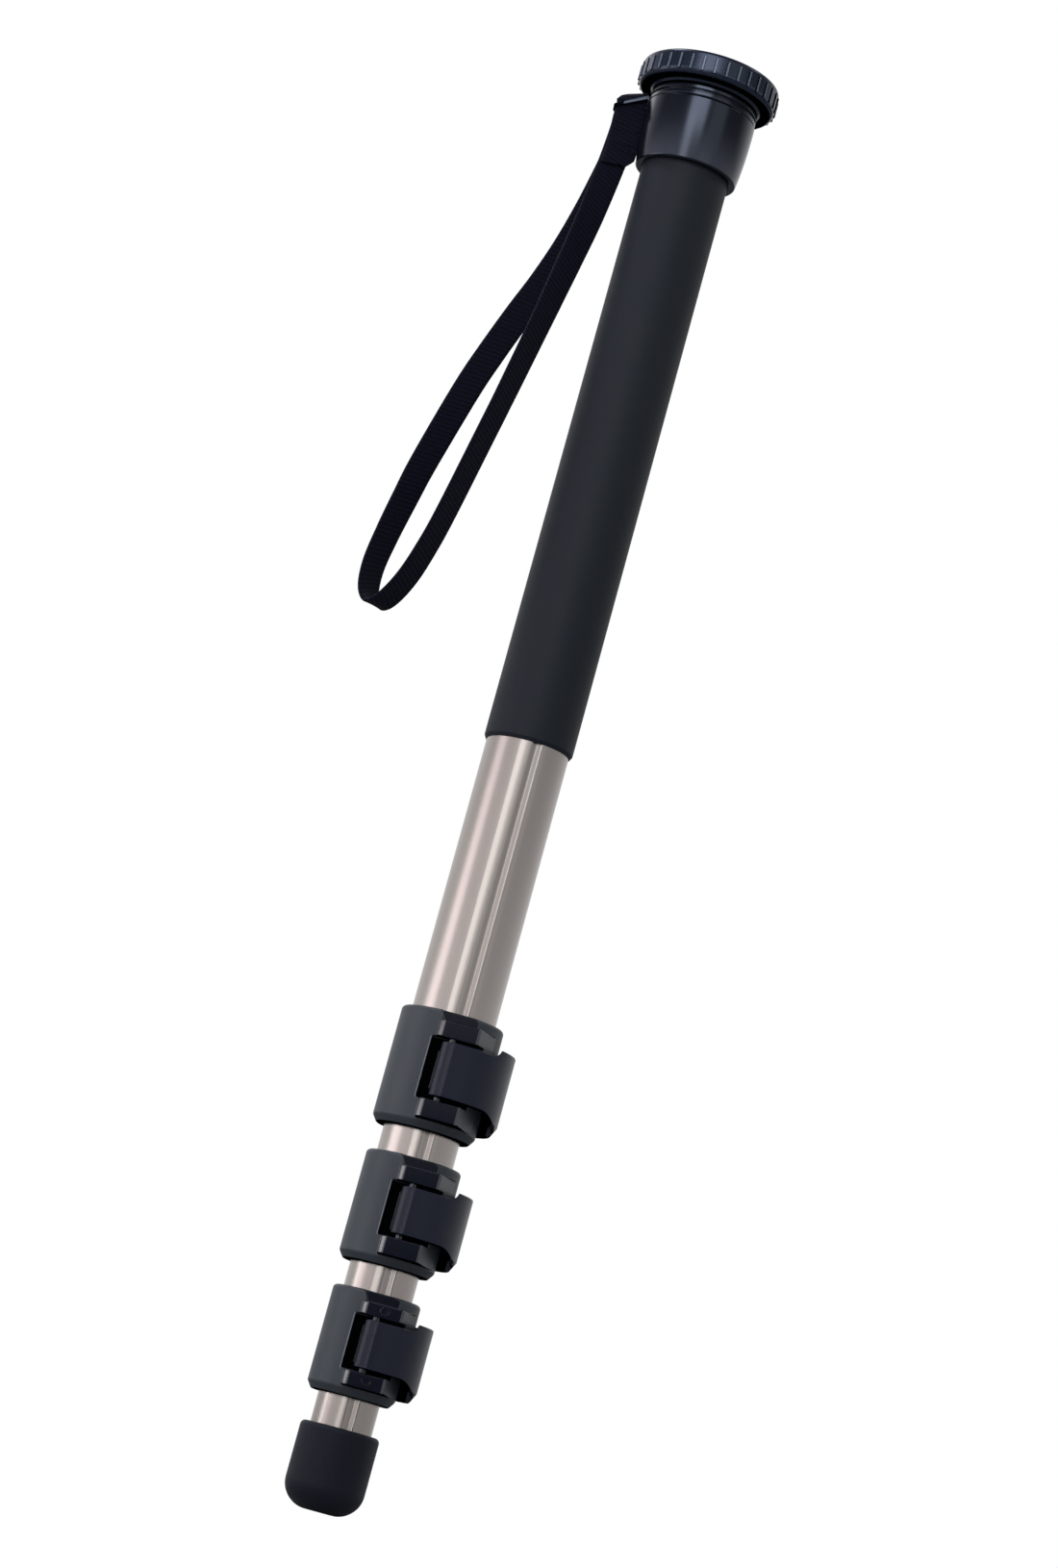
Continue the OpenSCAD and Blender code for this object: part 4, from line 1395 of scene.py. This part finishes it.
@dataclass
class LegLock:
    """One flip lock: moulded body, lever and hinge pin.

    outer is the body's radius, window the heights between which the lever lies, and plugs the
    heights of the round plugs in the boss. A face counts as off the round past slack, and as
    turned sideways or down where its normal passes tilt or down.
    """

    which: LockName
    outer: float
    window: tuple[float, float]
    plugs: tuple[float, ...] = ()
    plug_x: float = 3.7
    plug_y: float = -18.13
    smooth: float = 34
    slack: float = 0.05
    tilt: float = 0.3
    down: float = -0.6
    boss_right: float = 0.35
    scoop_front: float = -0.95
    lip_depth: tuple[float, float] = (-0.7, -0.01)
    wall_depth: float = -0.6
    lever_depth: float = 3.2
    barrel_right: float = 3.0

    def build(self) -> None:
        """Builds the visible pieces of the lock."""
        self.body()
        self.lever()
        self.pin()

    def key(self) -> str:
        """Gives the start of this lock's node names."""
        return self.which.name.lower()

    def body(self) -> None:
        """Builds the body: a grained band with a smoother hinge boss on its front, and painted
        shade and a painted highlight on marked faces.
        """
        name, node = f"{self.key()}_lock_moulding", f"{self.key()}_lock_body"
        piece = softened(name, node, 0.45)
        if self.plugs:
            piece = joined(name, [piece, *self.boss_plugs()])
        # Painted light: a darker tone on the boss and its scoop, a pale painted highlight on the
        # window's lip, near-black painted shade in recesses and on faces that look down.
        mark(piece, Mark.POLISH_AND_PAINTED_LIGHT, self.polish_and_painted_light)
        mark(piece, Mark.PAINTED_HIGHLIGHT, self.lip)
        mark(piece, Mark.FACET, self.facet)
        mark(piece, Mark.PAINTED_SHADE, self.painted_shade)
        dressed(piece, self.which.value, Slot.LOCK, [node], self.smooth)

    def boss_plugs(self) -> list[Piece]:
        """Builds the round plugs in the front of the boss; one is modelled and copied.

        Returns:
            One plug for each height in the lock's list.
        """
        first = turned("boss_plug", rounded([
            (0, -0.4, 0), (1.6, -0.4, 0), (1.6, 0.16, 0.1), (1.2, 0.16, 0.08),
            (1.2, 0.03, 0.05), (0, 0.03, 0)]), 48)
        forward = Matrix.Rotation(math.pi / 2, 4, "X")
        return copied(first, [
            Matrix.Translation(Vector((self.plug_x, self.plug_y, level)) * MM) @ forward
            for level in self.plugs])

    def proud(self, c: Vector) -> float:
        """Gives how far a place stands out of the body's round, in millimetres."""
        return math.hypot(c.x, c.y) - self.outer

    def in_window(self, c: Vector) -> bool:
        """Says of a place whether it is between the window's heights."""
        return self.window[0] < c.z < self.window[1]

    def polish_and_painted_light(self, c: Vector, n: Vector) -> bool:
        """Says of a face whether it is on the boss or the flat back of the scoop above it; these
        take polish and a darker painted tone, painted shade in the scoop.
        """
        scoop = c.z > self.window[1] and n.y < self.scoop_front and self.proud(c) < -self.slack
        return c.y < 0 and n.x < self.boss_right and (self.proud(c) > self.slack or scoop)

    def lip(self, c: Vector, n: Vector) -> bool:
        """Says of a face whether it is on the rounded left edge of the lever's window, which gets
        a painted highlight.
        """
        return (self.in_window(c) and c.x < 0 and n.y < -self.tilt and n.x > -self.tilt
                and self.lip_depth[0] < self.proud(c) < self.lip_depth[1])

    def facet(self, c: Vector, n: Vector) -> bool:
        """Says of a face whether it is on the lip or a slanted side of the boss."""
        slanted = abs(n.x) > self.tilt and n.y < -self.tilt
        return self.lip(c, n) or (c.y < 0 and self.proud(c) > self.slack and slanted)

    def painted_shade(self, c: Vector, n: Vector) -> bool:
        """Says of a face whether it looks down or is inside the window, where painted shade goes.
        """
        inside = n.y > self.tilt or (self.proud(c) < self.wall_depth and abs(n.z) < self.tilt)
        return n.z < self.down or (self.in_window(c) and c.y < 0 and inside)

    def lever(self) -> None:
        """Builds the lever: a barrel on the pin and a plate round the lock, with painted shade on
        its inside and on faces that look down.
        """
        node = f"{self.key()}_lock_lever"
        piece = softened(f"{self.key()}_lever_moulding", node, 0.5)
        # Painted shade on the plate's inside and on faces that look down.
        mark(piece, Mark.PAINTED_SHADE, lambda c, n: n.z < self.down or (
            self.proud(c) < self.lever_depth and c.x * n.x + c.y * n.y < 0
            and c.x > self.barrel_right))
        dressed(piece, f"{self.key()}_lever", Slot.LEVER, [node], self.smooth)

    def pin(self) -> None:
        """Builds the blackened hinge pin."""
        node = f"{self.key()}_lock_pin"
        piece = dressed(softened(f"{self.key()}_hinge_pin", node, 0.2), self.which.value,
                        Slot.STEEL, [node], self.smooth)
        piece.data.materials[0] = PIN_FINISH.material()


@dataclass
class Hardware:
    """CAD nodes whose shape is right and that only need their finish."""

    finishes: tuple[tuple[str, Slot], ...] = (
        ("spindle", Slot.STEEL), ("circlip", Slot.STEEL), ("spring_washer", Slot.STEEL),
        ("thrust_washer", Slot.SLIP), ("neck_cap_screws", Slot.STEEL),
        ("second_tube_guide", Slot.SLIP), ("third_tube_guide", Slot.SLIP),
        ("foot_tube_guide", Slot.SLIP), ("foot_plug", Slot.SLIP))
    lock_finishes: tuple[tuple[str, Slot], ...] = (
        ("shoe", Slot.SLIP), ("liner", Slot.SLIP), ("screw", Slot.STEEL))

    def build(self) -> None:
        """Gives each of these nodes its finish."""
        rows = list(self.finishes)
        for lock in LockName:
            rows += [(f"{lock.name.lower()}_lock_{part}", slot)
                     for part, slot in self.lock_finishes]
        for node, slot in rows:
            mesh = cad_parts[node].data
            mesh.materials.clear()
            mesh.materials.append(FINISHES[slot].material())
            LOG.info("%s keeps its solid, finish %s", node, FINISHES[slot].name)


def main() -> None:
    """Builds the studio and every sub-assembly in order."""
    logging.basicConfig(level=logging.INFO, format="%(message)s")
    Studio().build()
    WristStrap().build()
    Platform().build()
    Neck().build()
    Shaft().build()
    LegLock(LockName.UPPER, outer=17.1, window=(134.0, 154.5)).build()
    LegLock(LockName.MIDDLE, outer=15.8, window=(88.75, 106.75)).build()
    LegLock(LockName.LOWER, outer=14.5, window=(45.25, 63.25), plugs=(42.8, 65.35)).build()
    Hardware().build()


if __name__ == "__main__":
    main()
